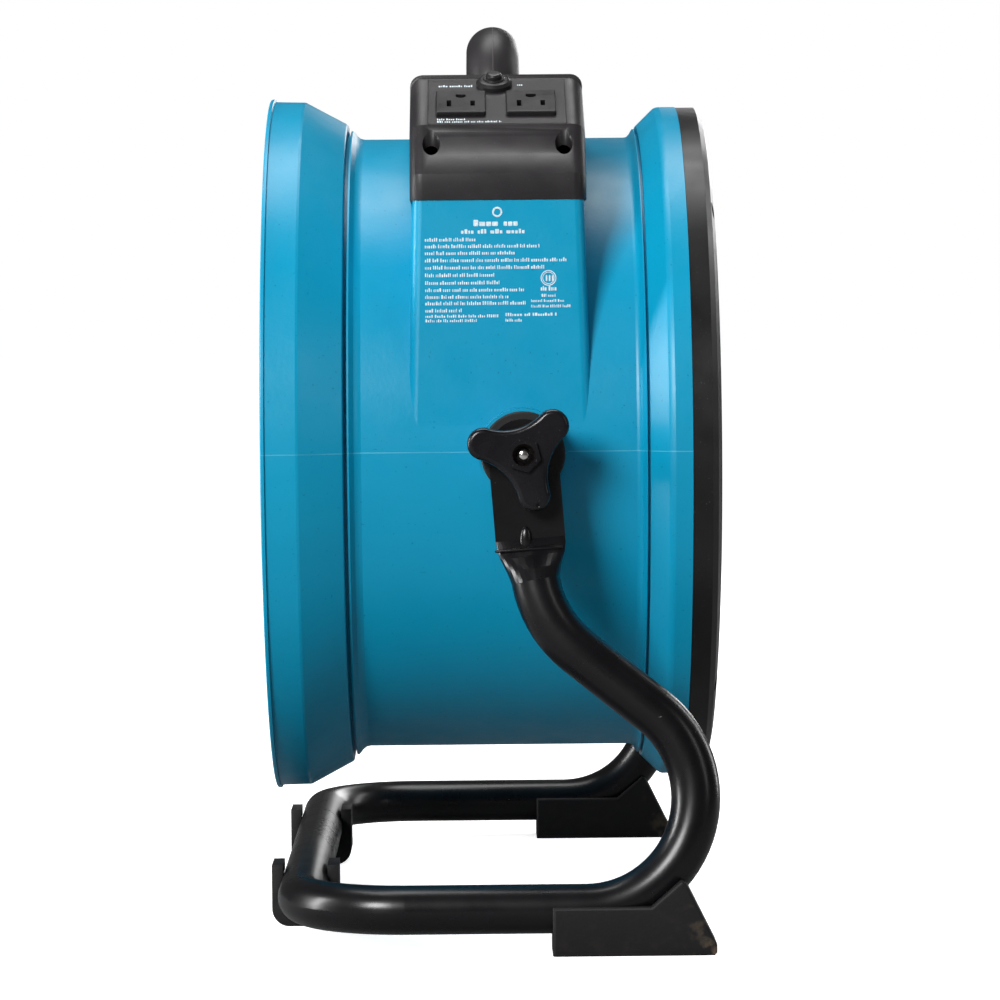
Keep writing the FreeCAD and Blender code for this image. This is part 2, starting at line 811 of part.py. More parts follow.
def build_motor_lead():
    """The sheathed lead from the motor to the grommet in the duct wall."""
    out = lead_direction()
    centre = V(LEAD_X, 0, size("axis_height"))
    start = centre + out * (size("motor_radius") + 0.1)
    lead = cylinder(3.4, size("drum_radius") + 6 - size("motor_radius"), start, out)
    shaped("motor_lead", lead)
    inside = centre + out * (size("bore_radius") - 2.4)
    sleeve = cylinder(6.8, size("wall") + 4.6, inside, out)
    lip_in = cylinder(9.5, 2.0, inside, out)
    lip_out = cylinder(9.5, 2.0, centre + out * (size("drum_radius") + 1.0), out)
    grommet = sleeve.fuse([lip_in, lip_out]).cut(cylinder(3.5, 30, inside - out * 5, out))
    shaped("lead_grommet", grommet)


# ---------------------------------------------------------------- electrical cover and handle


def cover_corners(inset):
    """Half outline of the cover in (Y, Z), from the handle side out to the lower rim."""
    s = "Sizes."
    corners = [
        ("pod_inner_y", "bridge_top"),
        ("pod_inner_y", "pod_top"),
        ("panel_high_y", "pod_top"),
        ("panel_high_y", "panel_high"),
        ("panel_low_y", "panel_low"),
        ("shoulder_y", "shoulder_top"),
        ("skirt_y", "skirt_top"),
        ("skirt_y", "saddle_top"),
    ]
    shifts = [(1, -1), (1, -1), (-1, -1), (-1, -1), (-1, -1), (-1, -1), (-1, -1), (-1, 0)]
    return [
        (f"({s}{y} + {a * inset})", f"({s}{z} + {b * inset})")
        for (y, z), (a, b) in zip(corners, shifts)
    ]


def mirrored(corners):
    """The half outline and its mirror image, as one closed outline."""
    other = [(f"-{y}", z) for y, z in reversed(corners)]
    return corners + other


def panel_tilt():
    """Slope of the two panels, in degrees from level."""
    rise = size("panel_high") - size("panel_low")
    run = size("panel_low_y") - size("panel_high_y")
    return math.degrees(math.atan2(rise, run))


def panel_place(side, x, drop, lift=0.0):
    """Placement on a panel: local y runs up the slope and local z out of the face."""
    tilt = math.radians(panel_tilt())
    y = size("panel_high_y") + drop * math.cos(tilt) + lift * math.sin(tilt)
    z = size("panel_high") - drop * math.sin(tilt) + lift * math.cos(tilt)
    turn_about = FreeCAD.Rotation(V(0, 0, 1), 0 if side < 0 else 180)
    slope = FreeCAD.Rotation(V(1, 0, 0), panel_tilt())
    base = V(size("saddle_x") + x, side * y, size("axis_height") + z)
    return FreeCAD.Placement(base, turn_about.multiply(slope))


def on_panel(shape, side, x, drop, lift=0.0):
    placed = shape.copy()
    placed.Placement = panel_place(side, x, drop, lift)
    return placed


def block(width, height, depth):
    """A box centred in x and y with its top face at z = 0."""
    return Part.makeBox(width, height, depth, V(-width / 2, -height / 2, -depth))


def rounded_block(width, height, depth, radius):
    solid = block(width, height, depth)
    upright = [e for e in solid.Edges if abs(e.BoundBox.ZLength - depth) < 1e-6]
    return solid.makeFillet(radius, upright)


def cover_wells():
    """Wells for the cover screws, and the holes below them."""
    axis = size("axis_height")
    tools = []
    for side in SIDES.values():
        for end in (-1, 1):
            x = size("saddle_x") + end * size("column_x")
            y = side * size("column_y")
            tools.append(cylinder(4.7, 40, V(x, y, axis + 143), V(0, 0, 1)))
            tools.append(cylinder(2.3, 30, V(x, y, axis + 125), V(0, 0, 1)))
    return tools


PANEL_WIDTH = 73.6
PANEL_LENGTH = 59.0
PANEL_MIDDLE = 31.2


def build_control_cover():
    axis = size("axis_height")
    shell = new_body("cover_shell")
    sketch = add_sketch(shell, "YZ_Plane")
    add_outline(sketch, mirrored(cover_corners(0)))
    add_feature(shell, "Pad", sketch, Length="2 * Sizes.cover_half", Midplane=True)
    half = size("cover_half")
    round_edges(
        shell,
        lambda e: e.BoundBox.XLength < 0.01
        and abs(abs(e.CenterOfMass.x) - half) < 0.1
        and abs(e.CenterOfMass.y) > 97
        and e.CenterOfMass.z > size("saddle_top") + 2,
        7.0,
    )
    bind(shell, base_x="Sizes.saddle_x", base_z="Sizes.axis_height")
    DOC.recompute()
    solid = shell.Shape.cut(cover_block(3.0))
    bosses = []
    for side in SIDES.values():
        for end in (-1, 1):
            x = size("saddle_x") + end * size("column_x")
            spot = V(x, side * size("column_y"), axis + size("saddle_top") + 0.1)
            bosses.append(cylinder(6.4, 22, spot, V(0, 0, 1)))
    outside = cover_block(0.0)
    solid = solid.fuse([boss.common(outside) for boss in bosses])
    tools = cover_wells()
    for side in SIDES.values():
        recess = block(PANEL_WIDTH + 0.4, PANEL_LENGTH + 0.4, 2.2)
        tools.append(on_panel(recess, side, 0, PANEL_MIDDLE, 0.2))
        opening = block(PANEL_WIDTH - 5, PANEL_LENGTH - 5, 14)
        tools.append(on_panel(opening, side, 0, PANEL_MIDDLE, 0.2))
    seat = panel_place(-1, -1.2, size("breaker_drop"))
    out = seat.Rotation.multVec(V(0, 0, 1))
    tools.append(cylinder(7.8, 8, seat.Base - out * 8, out))
    clear = cylinder(size("drum_radius") + 0.3, 200, V(-100, 0, axis), V(1, 0, 0))
    tools.append(clear)
    for side in SIDES.values():
        for end in (-1, 1):
            hole = V(2.5 + end * 7, side * size("handle_leg_y"), axis + 190)
            tools.append(cylinder(2.2, 20, hole, V(0, 0, 1)))
    shaped("control_cover", solid.cut(tools))


def cover_block(inset):
    """The cover's outline as a plain solid, drawn in all round by an inset."""
    axis = size("axis_height")
    corners = [(value(y), value(z)) for y, z in mirrored(cover_corners(inset))]
    start = size("saddle_x") - size("cover_half") + inset
    spots = [V(start, y, axis + z) for y, z in corners]
    outline = Part.Face(Part.makePolygon(spots + spots[:1]))
    return outline.extrude(V(2 * (size("cover_half") - inset), 0, 0))


def build_cover_screws():
    axis = size("axis_height")
    screws = []
    for side in SIDES.values():
        for end in (-1, 1):
            x = size("saddle_x") + end * size("column_x")
            spot = V(x, side * size("column_y"), axis + 143.05)
            screws.append(pan_screw(4.2, 2.6, 1.95, 26.0, spot, V(0, 0, -1)))
    shaped("cover_screws", Part.makeCompound(screws))


HANDLE_X = 2.5


def build_carry_handle():
    axis = size("axis_height")
    leg, bend = size("handle_leg_y"), size("handle_bend")
    top, foot = axis + size("handle_height"), axis + size("pod_top") + 0.05
    x = HANDLE_X
    turn_z = top - bend
    corner = bend * (1 - math.cos(math.radians(45)))
    left = [V(x, -leg, turn_z), V(x, -leg + corner, top - corner), V(x, -leg + bend, top)]
    right = [V(x, leg - bend, top), V(x, leg - corner, top - corner), V(x, leg, turn_z)]
    path = Part.Wire(
        [
            Part.Arc(*left).toShape(),
            Part.makeLine(left[-1], right[0]),
            Part.Arc(*right).toShape(),
        ]
    )
    section = Part.Wire([Part.Circle(left[0], V(0, 0, 1), size("handle_radius")).toShape()])
    bar = path.makePipeShell([section], True, False)
    keep = Part.makeBox(80, 300, 60, V(x - 40, -150, foot))
    handle = bar.common(keep)
    tools = []
    for side in SIDES.values():
        for end in (-1, 1):
            spot = V(x + end * 7, side * leg, foot - 1)
            tools.append(cylinder(1.9, 13, spot, V(0, 0, 1)))
    shaped("carry_handle", handle.cut(tools))
    screws = []
    seat = axis + size("pod_top") - 3.05
    for side in SIDES.values():
        for end in (-1, 1):
            spot = V(x + end * 7, side * leg, seat)
            screws.append(pan_screw(3.8, 2.4, 1.8, 13.0, spot, V(0, 0, 1)))
    shaped("handle_screws", Part.makeCompound(screws))


# ---------------------------------------------------------------- sockets, breaker, speed control


def build_panels():
    """The two plates let into the sloping faces of the cover."""
    plate = rounded_block(PANEL_WIDTH, PANEL_LENGTH, 2.0, 1.0)
    left = on_panel(plate, -1, 0, PANEL_MIDDLE, 0.1)
    cuts = []
    for end in (-1, 1):
        hole = block(size("socket_width") - 1.6, size("socket_height") - 1.6, 10)
        x = end * size("socket_pitch") / 2 - 0.5
        cuts.append(on_panel(hole, -1, x, size("socket_drop"), 3))
    ring = cylinder(6.2, 10, V(0, 0, -6), V(0, 0, 1))
    cuts.append(on_panel(ring, -1, -1.2, size("breaker_drop"), 0))
    shaped("socket_panel", left.cut(cuts))
    right = on_panel(plate, 1, 0, PANEL_MIDDLE, 0.1)
    spindle = cylinder(4.9, 10, V(0, 0, -6), V(0, 0, 1))
    shaped("control_panel", right.cut(on_panel(spindle, 1, 0, size("speed_drop"), 0)))


def socket_slots():
    """Openings in a socket's face: two blades and the round-sided earth above them."""
    slots = [
        Part.makeBox(2.4, 7.9, 14, V(-6.35 - 1.2, -7.0, -12)),
        Part.makeBox(2.4, 6.6, 14, V(6.35 - 1.2, -6.3, -12)),
    ]
    earth = cylinder(2.9, 14, V(0, 7.2, -12), V(0, 0, 1))
    slots.append(earth.cut(Part.makeBox(8, 2, 16, V(-4, 8.7, -13))))
    return slots


def build_sockets():
    width, height = size("socket_width"), size("socket_height")
    face = rounded_block(width, height, 2.6, 1.2)
    crown = [e for e in face.Edges if abs(e.CenterOfMass.z) < 1e-6]
    face = face.makeFillet(0.7, crown)
    face.translate(V(0, 0, 2.7))
    body = block(width - 2.0, height - 2.0, 19)
    body.translate(V(0, 0, 0.5))
    slots = socket_slots()
    for slot in slots:
        slot.translate(V(0, 0, 2))
    pockets = []
    contacts = []
    for x in (-6.35, 6.35):
        for gap in (-1, 1):
            start = x + gap * 1.2 if gap > 0 else x - 1.2 - 0.9
            pockets.append(Part.makeBox(0.9, 6.0, 8, V(start, -6.0, -9.5)))
            contacts.append(Part.makeBox(0.7, 5.8, 7.8, V(start + 0.1, -5.9, -9.4)))
    solid = face.fuse(body).cut(slots + pockets)
    for name, end in (("outlet_front", -1), ("outlet_rear", 1)):
        x = end * size("socket_pitch") / 2 - 0.5
        shaped(name, on_panel(solid, -1, x, size("socket_drop"), 0.1))
    leaves = []
    for end in (-1, 1):
        x = end * size("socket_pitch") / 2 - 0.5
        for leaf in contacts:
            rest = leaf.copy()
            place = panel_place(-1, x, size("socket_drop"), 0.1)
            rest.Placement = place.multiply(rest.Placement)
            leaves.append(rest)
    shaped("outlet_contacts", Part.makeCompound(leaves))


def build_breaker():
    s = "Sizes."
    x, drop = -1.2, size("breaker_drop")
    out = panel_place(-1, x, drop).Rotation.multVec(V(0, 0, 1))
    spot = panel_place(-1, x, drop, 0.1).Base
    body = new_body("circuit_breaker")
    turn(
        body,
        [
            ("-20", "0"),
            ("-20", "6.6"),
            ("-18", "7.4"),
            ("-2.1", "7.4"),
            ("-2.1", "6.0"),
            ("4.2", "6.0"),
            ("4.8", "5.4"),
            ("4.8", "4.4"),
            ("-4", "4.4"),
            ("-4", "0"),
        ],
    )
    lay_along(body, out, spot)
    named(body, "circuit_breaker")
    nut = new_body("breaker_nut")
    ring = s + "breaker_ring"
    turn(
        nut,
        [
            ("0", "6.05"),
            ("0", ring),
            ("2.2", ring),
            ("3.6", f"{ring} - 1.6"),
            ("4.0", f"{ring} - 2.6"),
            ("4.0", "6.05"),
        ],
    )
    lay_along(nut, out, spot)
    named(nut, "breaker_nut")
    button = new_body("breaker_button")
    turn(
        button,
        [("0.2", "0"), ("0.2", "4.3"), ("6.4", "4.3"), ("7.4", "3.4"), ("7.6", "2.4"), ("7.6", "0")],
    )
    lay_along(button, out, spot)
    named(button, "breaker_button")


def lay_along(body, out, spot):
    """Lays a body turned about X along a direction, with its zero station at a spot."""
    body.Placement = FreeCAD.Placement(spot, FreeCAD.Rotation(V(1, 0, 0), out))


def build_speed_control():
    x, drop = 0.0, size("speed_drop")
    out = panel_place(1, x, drop).Rotation.multVec(V(0, 0, 1))
    spot = panel_place(1, x, drop, 0.1).Base
    radius = "Sizes.speed_knob_radius"
    pot = new_body("speed_pot")
    turn(
        pot,
        [
            ("-13", "0"),
            ("-13", "9"),
            ("-2.1", "9"),
            ("-2.1", "4.7"),
            ("3.0", "4.7"),
            ("3.0", "3.1"),
            ("-6", "3.1"),
            ("-6", "0"),
        ],
    )
    lay_along(pot, out, spot)
    named(pot, "speed_pot")
    nut = new_body("pot_nut")
    turn(nut, [("0", "4.75"), ("0", "7.5"), ("2.0", "7.5"), ("2.0", "4.75")])
    lay_along(nut, out, spot)
    named(nut, "pot_nut")
    spindle = new_body("pot_spindle")
    turn(spindle, [("-5.9", "0"), ("-5.9", "3.0"), ("13", "3.0"), ("13", "0")])
    lay_along(spindle, out, spot)
    named(spindle, "pot_spindle")
    knob = new_body("knob_body")
    turn(
        knob,
        [
            ("3.4", "3.05"),
            ("3.4", "8.5"),
            ("0.8", "8.5"),
            ("0.8", radius),
            ("3.0", radius),
            ("5.0", f"{radius} - 2.5"),
            ("16.0", f"{radius} - 3.5"),
            ("17.5", f"{radius} - 5.0"),
            ("17.5", "0"),
            ("13.1", "0"),
            ("13.1", "3.05"),
        ],
    )
    DOC.recompute()
    flutes = []
    for i in range(12):
        angle = math.radians(30 * i + 15)
        reach = size("speed_knob_radius") - 1.4
        centre = V(4.4, reach * math.cos(angle), reach * math.sin(angle))
        flutes.append(cylinder(1.7, 20, centre, V(1, 0, 0)))
    pointer = Part.makeBox(2, 1.2, 9, V(16.9, -0.6, 2.5))
    solid = knob.Shape.cut(flutes + [pointer])
    solid.Placement = FreeCAD.Placement(spot, FreeCAD.Rotation(V(1, 0, 0), out))
    shaped("speed_knob", solid)


def build_gland():
    """The inlet for the supply cord, in the right-hand wall of the saddle."""
    turned_piece(
        "cord_gland",
        [
            ("158", "6.2"),
            ("158", "Sizes.gland_radius - 0.1"),
            ("169.1", "Sizes.gland_radius - 0.1"),
            ("169.1", "11"),
            ("174", "11"),
            ("178", "9.6"),
            ("188", "8.6"),
            ("188", "5"),
            ("171", "5"),
            ("169", "6.2"),
        ],
        along=V(0, 1, 0),
        at=("Sizes.saddle_x", "0", "Sizes.axis_height + Sizes.gland_height"),
    )
    turned_piece(
        "gland_nut",
        [
            ("160.2", "Sizes.gland_radius + 0.1"),
            ("160.2", "11.5"),
            ("164.2", "11.5"),
            ("164.2", "Sizes.gland_radius + 0.1"),
        ],
        along=V(0, 1, 0),
        at=("Sizes.saddle_x", "0", "Sizes.axis_height + Sizes.gland_height"),
    )

def build_electrics():
    """What is inside the bay: speed board, run capacitor and terminal block."""
    axis = size("axis_height")
    x = size("saddle_x")
    board = Part.makeBox(56, 1.6, 26, V(x - 28, 148, axis + 98))
    sink = Part.makeBox(30, 7.2, 18, V(x - 15, 140.8, axis + 104))
    posts = [cylinder(3, 14.7, V(x + end * 22, 149.5, axis + 111), V(0, 1, 0)) for end in (-1, 1)]
    shaped("speed_board", board.fuse([sink] + posts))
    can = cylinder(15, 52, V(x - 26, -135.7, axis + 129), V(1, 0, 0))
    shaped("run_capacitor", can)
    base = Part.makeBox(44, 16, 10, V(x - 22, 118, axis + 125.6))
    cuts = [cylinder(2.2, 8, V(x - 17.5 + 7 * i, 126, axis + 131), V(0, 0, 1)) for i in range(6)]
    shaped("terminal_block", base.cut(cuts))


# ---------------------------------------------------------------- stand


def arm_point(side, x, reach):
    """A point of an arm's own plane, which leans inwards about the line of its rail."""
    lean = math.radians(size("arm_lean"))
    y = size("rail_y") - reach * math.sin(lean)
    z = size("rail_height") + reach * math.cos(lean)
    return V(x, side * y, z)


def bend(side, centre, radius, start, end):
    """A bend of the tube in the arm's plane, between two angles in degrees."""
    spots = []
    for angle in (start, (start + end) / 2, end):
        a = math.radians(angle)
        spots.append(
            arm_point(side, centre[0] + radius * math.cos(a), centre[1] + radius * math.sin(a))
        )
    return Part.Arc(*spots).toShape()


def arm_stations():
    """Centres and end points of an arm's bends, as (along X, up the plane)."""
    radius, small = size("bend_radius"), size("arm_bend_radius")
    slope = size("arm_slope")
    a = math.radians(slope)
    low = (size("c_bend_x"), radius)
    out = (low[0] + radius * math.cos(a), low[1] + radius * math.sin(a))
    run = size("arm_run")
    knee = (out[0] - run * math.sin(a), out[1] + run * math.cos(a))
    high = (knee[0] + small * math.cos(a), knee[1] + small * math.sin(a))
    b = math.radians(190)
    neck = (high[0] + small * math.cos(b), high[1] + small * math.sin(b))
    return low, out, knee, high, neck


def arm_edges(side):
    """The tube's middle line from the arm's neck down to the start of its rail."""
    low, out, knee, high, neck = arm_stations()
    slope = size("arm_slope")
    return [
        bend(side, high, size("arm_bend_radius"), 190, 180 + slope),
        Part.makeLine(arm_point(side, *knee), arm_point(side, *out)),
        bend(side, low, size("bend_radius"), slope, -90),
    ]


def stand_path():
    """The tube's middle line, from the left neck round the crossbar to the right neck."""
    corner = 55.0
    x = size("crossbar_x")
    y = size("rail_y")
    z = size("rail_height")
    diagonal = corner * (1 - math.cos(math.radians(45)))
    left = arm_edges(-1)
    right = arm_edges(1)
    start = size("c_bend_x")
    middle = [
        Part.makeLine(V(start, -y, z), V(x + corner, -y, z)),
        Part.Arc(
            V(x + corner, -y, z), V(x + diagonal, -y + diagonal, z), V(x, -y + corner, z)
        ).toShape(),
        Part.makeLine(V(x, -y + corner, z), V(x, y - corner, z)),
        Part.Arc(
            V(x, y - corner, z), V(x + diagonal, y - diagonal, z), V(x + corner, y, z)
        ).toShape(),
        Part.makeLine(V(x + corner, y, z), V(start, y, z)),
    ]
    return Part.Wire(left + middle + list(reversed(right)))


def round_bar(radius):
    """A solid bar of a radius along the tube's middle line: a piece for each run and bend."""
    pieces = []
    for edge in stand_path().OrderedEdges:
        first, last = edge.ParameterRange
        start, end = edge.valueAt(first), edge.valueAt(last)
        along = edge.tangentAt(first)
        if isinstance(edge.Curve, Part.Circle):
            disc = Part.Face(Part.Wire([Part.Circle(start, along, radius).toShape()]))
            centre, spindle = edge.Curve.Center, edge.Curve.Axis
            sweep = math.degrees(last - first)
            pieces.append(disc.revolve(centre, spindle, sweep))
        else:
            pieces.append(cylinder(radius, (end - start).Length, start, end - start))
    return pieces[0].fuse(pieces[1:]).removeSplitter()


def squashed(centre, normal, across, half_width, half_depth, power):
    """A closed section between a circle and a flat plate, as a polygon of many sides."""
    deep = normal.cross(across)
    spots = []
    for i in range(32):
        t = 2 * math.pi * i / 32
        c, s = math.cos(t), math.sin(t)
        u = half_width * math.copysign(abs(c) ** (2 / power), c)
        w = half_depth * math.copysign(abs(s) ** (2 / power), s)
        spots.append(centre + across * u + deep * w)
    return Part.makePolygon(spots + spots[:1])


def arm_end(side, inset):
    """The pinched end of the tube and the flat plate that carries the pivot."""
    neck = arm_stations()[4]
    pivot = V(size("pivot_x"), side * size("plate_y"), size("axis_height"))
    start = arm_point(side, *neck)
    ahead = arm_point(side, neck[0] - math.tan(math.radians(10)), neck[1] + 1) - start
    ahead.normalize()
    plate_low = V(size("pivot_x") + 3.4, side * size("plate_y"), size("axis_height") - 44)
    upright = pivot - plate_low
    upright.normalize()
    half = size("plate_half")
    tube = size("tube_radius")
    sections = []
    stages = [(-0.05, tube - 0.5, tube - 0.5, 2.0), (0.0, tube - 0.2, tube - 0.3, 2.0)]
    stages += [(0.3, tube * 1.13, tube * 0.8, 2.1)]
    stages += [(0.6, half * 0.93, tube * 0.42, 2.6), (0.82, half * 0.99, 2.8, 3.4)]
    stages += [(1.0, half, size("plate_thick") / 2, 5.0)]
    for part, wide, deep, power in stages:
        centre = start + (plate_low - start) * part
        normal = ahead + (upright - ahead) * part
        normal.normalize()
        across = V(1, 0, 0) - normal * normal.x
        across.normalize()
        sections.append(squashed(centre, normal, across, wide - inset, deep - inset, power))
    throat = Part.makeLoft(sections, True, True)
    thick = size("plate_thick")
    tab = Part.makeBox(2 * half, thick, 44.2, V(-half, -thick / 2, -44.2))
    end = cylinder(half, thick, V(0, -thick / 2, 0), V(0, 1, 0))
    eye = cylinder(4.6, thick + 2, V(0, -thick / 2 - 1, 0), V(0, 1, 0))
    plate = tab.fuse(end).removeSplitter().cut(eye)
    lean = math.degrees(math.atan2(-3.4, 44))
    plate.Placement = FreeCAD.Placement(pivot, FreeCAD.Rotation(V(0, 1, 0), lean))
    return throat.fuse(plate)


def foot_screw_spots():
    """Where each foot is screwed to the tube from below, at the tube's underside."""
    z = 0.0
    spots = []
    for side in SIDES.values():
        spots.append(V(size("rear_foot_x") + 10, side * size("rail_y"), z))
        spots.append(V(size("crossbar_x"), side * size("front_foot_y"), z))
    return spots


def build_stand_frame():
    tube = round_bar(size("tube_radius"))
    hollow = round_bar(size("tube_radius") - size("tube_wall"))
    drills = [cylinder(2.0, 14, spot, V(0, 0, 1)) for spot in foot_screw_spots()]
    ends = [arm_end(side, 0.0) for side in SIDES.values()]
    frame = tube.cut(hollow).fuse(ends).cut(drills)
    shaped("stand_frame", frame)


def build_feet():
    clear = round_bar(size("tube_radius") + 0.1)
    start = size("rear_foot_x")
    outline = [
        (0.0, 0.0),
        (82.5, 0.0),
        (84.0, 1.5),
        (84.0, 5.6),
        (68.5, 37.0),
        (66.0, 38.3),
        (50.5, 25.0),
        (0.0, 25.0),
    ]
    width = size("rear_foot_width")
    well = cylinder(4.6, 4.06, V(0, 0, -1), V(0, 0, 1))
    for name, side in SIDES.items():
        y = side * size("rail_y") - width / 2
        spots = [V(start + x, y, z) for x, z in outline]
        foot = Part.Face(Part.makePolygon(spots + spots[:1])).extrude(V(0, width, 0))
        sides = [e for e in foot.Edges if e.BoundBox.YLength < 0.01 and e.CenterOfMass.z > 1]
        foot = foot.makeFillet(1.6, sides)
        spot = foot_screw_spots()[0 if side < 0 else 2]
        hole = cylinder(2.1, 20, spot, V(0, 0, 1))
        shaped("rear_foot_" + name, foot.cut([clear, hole, well.translated(spot)]))
    half = size("front_foot_half")
    tall = size("front_foot_height")
    for name, side in SIDES.items():
        wide = 17.95
        y = side * size("front_foot_y") - half
        block_x = size("crossbar_x") - wide
        saddle = Part.makeBox(2 * wide, 2 * half, tall, V(block_x, y, 0))
        low = [e for e in saddle.Edges if e.BoundBox.YLength > half and e.CenterOfMass.z < 1]
        saddle = saddle.makeFillet(9.5, low)
        slot_radius = size("tube_radius") + 0.1
        slot = Part.makeBox(
            2 * slot_radius - 1.6,
            2 * half + 2,
            tall,
            V(size("crossbar_x") - slot_radius + 0.8, y - 1, size("rail_height") + 4),
        )
        spot = foot_screw_spots()[1 if side < 0 else 3]
        hole = cylinder(2.1, 20, spot, V(0, 0, 1))
        shaped("front_foot_" + name, saddle.cut([clear, slot, hole, well.translated(spot)]))
    screws = []
    for spot in foot_screw_spots():
        seat = spot + V(0, 0, 3.05)
        screws.append(pan_screw(4.2, 2.4, 1.95, 12.5, seat, V(0, 0, 1)))
    shaped("foot_screws", Part.makeCompound(screws))


# ---------------------------------------------------------------- tilt pivot


def knob_outline():
    """Three lobes joined by hollow arcs, as points on the outline's circles."""
    lobe, reach, waist = size("lobe_radius"), size("lobe_reach"), size("waist_radius")
    hollow = (reach**2 + waist**2 - reach * waist - lobe**2) / (
        2 * lobe - 2 * waist + reach
    )
    far = hollow + waist
    edges = []
    for i in range(3):
        middle = math.radians(120 * i)
        tip = V(reach * math.cos(middle), reach * math.sin(middle), 0)
        gaps = []
        for turn_by in (-60, 60):
            a = middle + math.radians(turn_by)
            hub = V(far * math.cos(a), far * math.sin(a), 0)
            away = (hub - tip).normalize()
            gaps.append(tip + away * lobe)
        crown = tip + V(math.cos(middle), math.sin(middle), 0) * lobe
        edges.append(Part.Arc(gaps[0], crown, gaps[1]).toShape())
        a = middle + math.radians(60)
        valley = V(waist * math.cos(a), waist * math.sin(a), 0)
        b = middle + math.radians(120)
        next_tip = V(reach * math.cos(b), reach * math.sin(b), 0)
        hub = V(far * math.cos(a), far * math.sin(a), 0)
        following = next_tip + (hub - next_tip).normalize() * lobe
        edges.append(Part.Arc(gaps[1], valley, following).toShape())
    return Part.Wire(edges)


def build_knob(name, side):
    thick = size("knob_thick")
    body = Part.Face(knob_outline()).extrude(V(0, 0, thick))
    top = [e for e in body.Edges if abs(e.BoundBox.ZMin - thick) < 1e-6]
    body = body.makeFillet(2.6, top)
    spots = [
        V(9.25 * math.cos(math.radians(a)), 9.25 * math.sin(math.radians(a)), 2)
        for a in range(0, 361, 60)
    ]
    boss = Part.Face(Part.makePolygon(spots + spots[:1])).extrude(V(0, 0, thick + 0.6))
    flat = Part.makeBox(40, 40, 4, V(-20, -20, -4))
    well = cylinder(5.8, 30, V(0, 0, -5), V(0, 0, 1))
    knob = body.fuse(boss).cut([well, flat])
    insert = cylinder(5.75, 9, V(0, 0, 0.2), V(0, 0, 1))
    insert = insert.cut(cylinder(4.05, 20, V(0, 0, -2), V(0, 0, 1)))
    out = V(0, side, 0)
    spin = FreeCAD.Rotation(V(0, 0, 1), 44.5)
    lay = FreeCAD.Rotation(V(1, 0, 0), V(0, 0, 1), out, "XZY")
    base = V(size("pivot_x"), side * size("knob_y"), size("axis_height"))
    place = FreeCAD.Placement(base, lay.multiply(spin))
    for label, shape in (("clamp_knob_", knob), ("knob_insert_", insert)):
        shape.Placement = place
        shaped(label + name, shape)


def build_pivot():
    s = "Sizes."
    for name, side in SIDES.items():
        along = V(0, side, 0)
        stud = s + "stud_radius"
        turned_piece(
            "pivot_stud_" + name,
            [
                ("160.2", "0"),
                ("160.2", "5.6"),
                ("161", "6.6"),
                ("164.4", "6.6"),
                ("164.4", stud),
                ("221.2", stud),
                ("222.2", f"{stud} - 0.9"),
                ("222.2", "0"),
            ],
            along=along,
            at=PIVOT,
        )
        turned_piece(
            "backing_plate_" + name,
            [
                ("164.5", stud + " + 0.1"),
                ("164.5", "14"),
                ("167", "14"),
                ("167", stud + " + 0.1"),
            ],
            along=along,
            at=PIVOT,
        )
        disc = s + "disc_y"
        rim = s + "disc_radius"
        turned_piece(
            "friction_disc_" + name,
            [
                (s + "boss_y + 0.1", stud + " + 0.2"),
                (s + "boss_y + 0.1", rim),
                (f"{disc} - 0.8", rim),
                (f"{disc}", f"{rim} - 0.8"),
                (f"{disc}", stud + " + 0.2"),
            ],
            along=along,
            at=PIVOT,
        )
        turned_piece(
            "clamp_washer_" + name,
            [
                ("208.4", stud + " + 0.2"),
                ("208.4", "12"),
                (s + "knob_y - 0.1", "12"),
                (s + "knob_y - 0.1", stud + " + 0.2"),
            ],
            along=along,
            at=PIVOT,
        )
        build_knob(name, side)


# ---------------------------------------------------------------- check and write


def check_document():
    DOC.recompute()
    for thing in DOC.Objects:
        if "Invalid" in thing.State or "Error" in thing.State:
            raise RuntimeError(f"{thing.Name} is {thing.State}")
    for piece in PIECES:
        if piece.Shape.isNull() or not piece.Shape.isValid():
            raise RuntimeError(f"{piece.Label} has a bad shape")


def write_pieces():
    os.makedirs("parts", exist_ok=True)
    for piece in PIECES:
        piece.Shape.exportStep(f"parts/{piece.Label}.step")


STEPS = [
    build_duct_housing,
    build_rear_guard,
    build_front_guard,
    build_guard_fasteners,
    build_motor,
    build_motor_bracket,
    build_impeller,
    build_motor_lead,
    build_control_cover,
    build_cover_screws,
    build_carry_handle,
    build_panels,
    build_sockets,
    build_breaker,
    build_speed_control,
    build_gland,
    build_electrics,
    build_stand_frame,
    build_feet,
    build_pivot,
]


fill_sheet()
for step in STEPS:
    step()
check_document()
write_pieces()
for piece in PIECES:
    print(piece.Label, len(piece.Shape.Solids), round(piece.Shape.Volume / 1000, 1))
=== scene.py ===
# %% [markdown]
# # A tilting axial air mover, finished around its CAD frame
#
# The air mover is a round moulded duct with a fan inside. It hangs between the
# two arms of a bent steel tube stand, and a pair of clamp knobs holds its tilt.
# Every hard part already exists as a CAD node, so this lesson is about finishes:
# moulded blue plastic, satin black plastic, powder coated steel, rubber and print.
# The frame is loaded first, and nothing in it is moved.

# %% Load the frame
import math

import bpy
from mathutils import Matrix, Vector


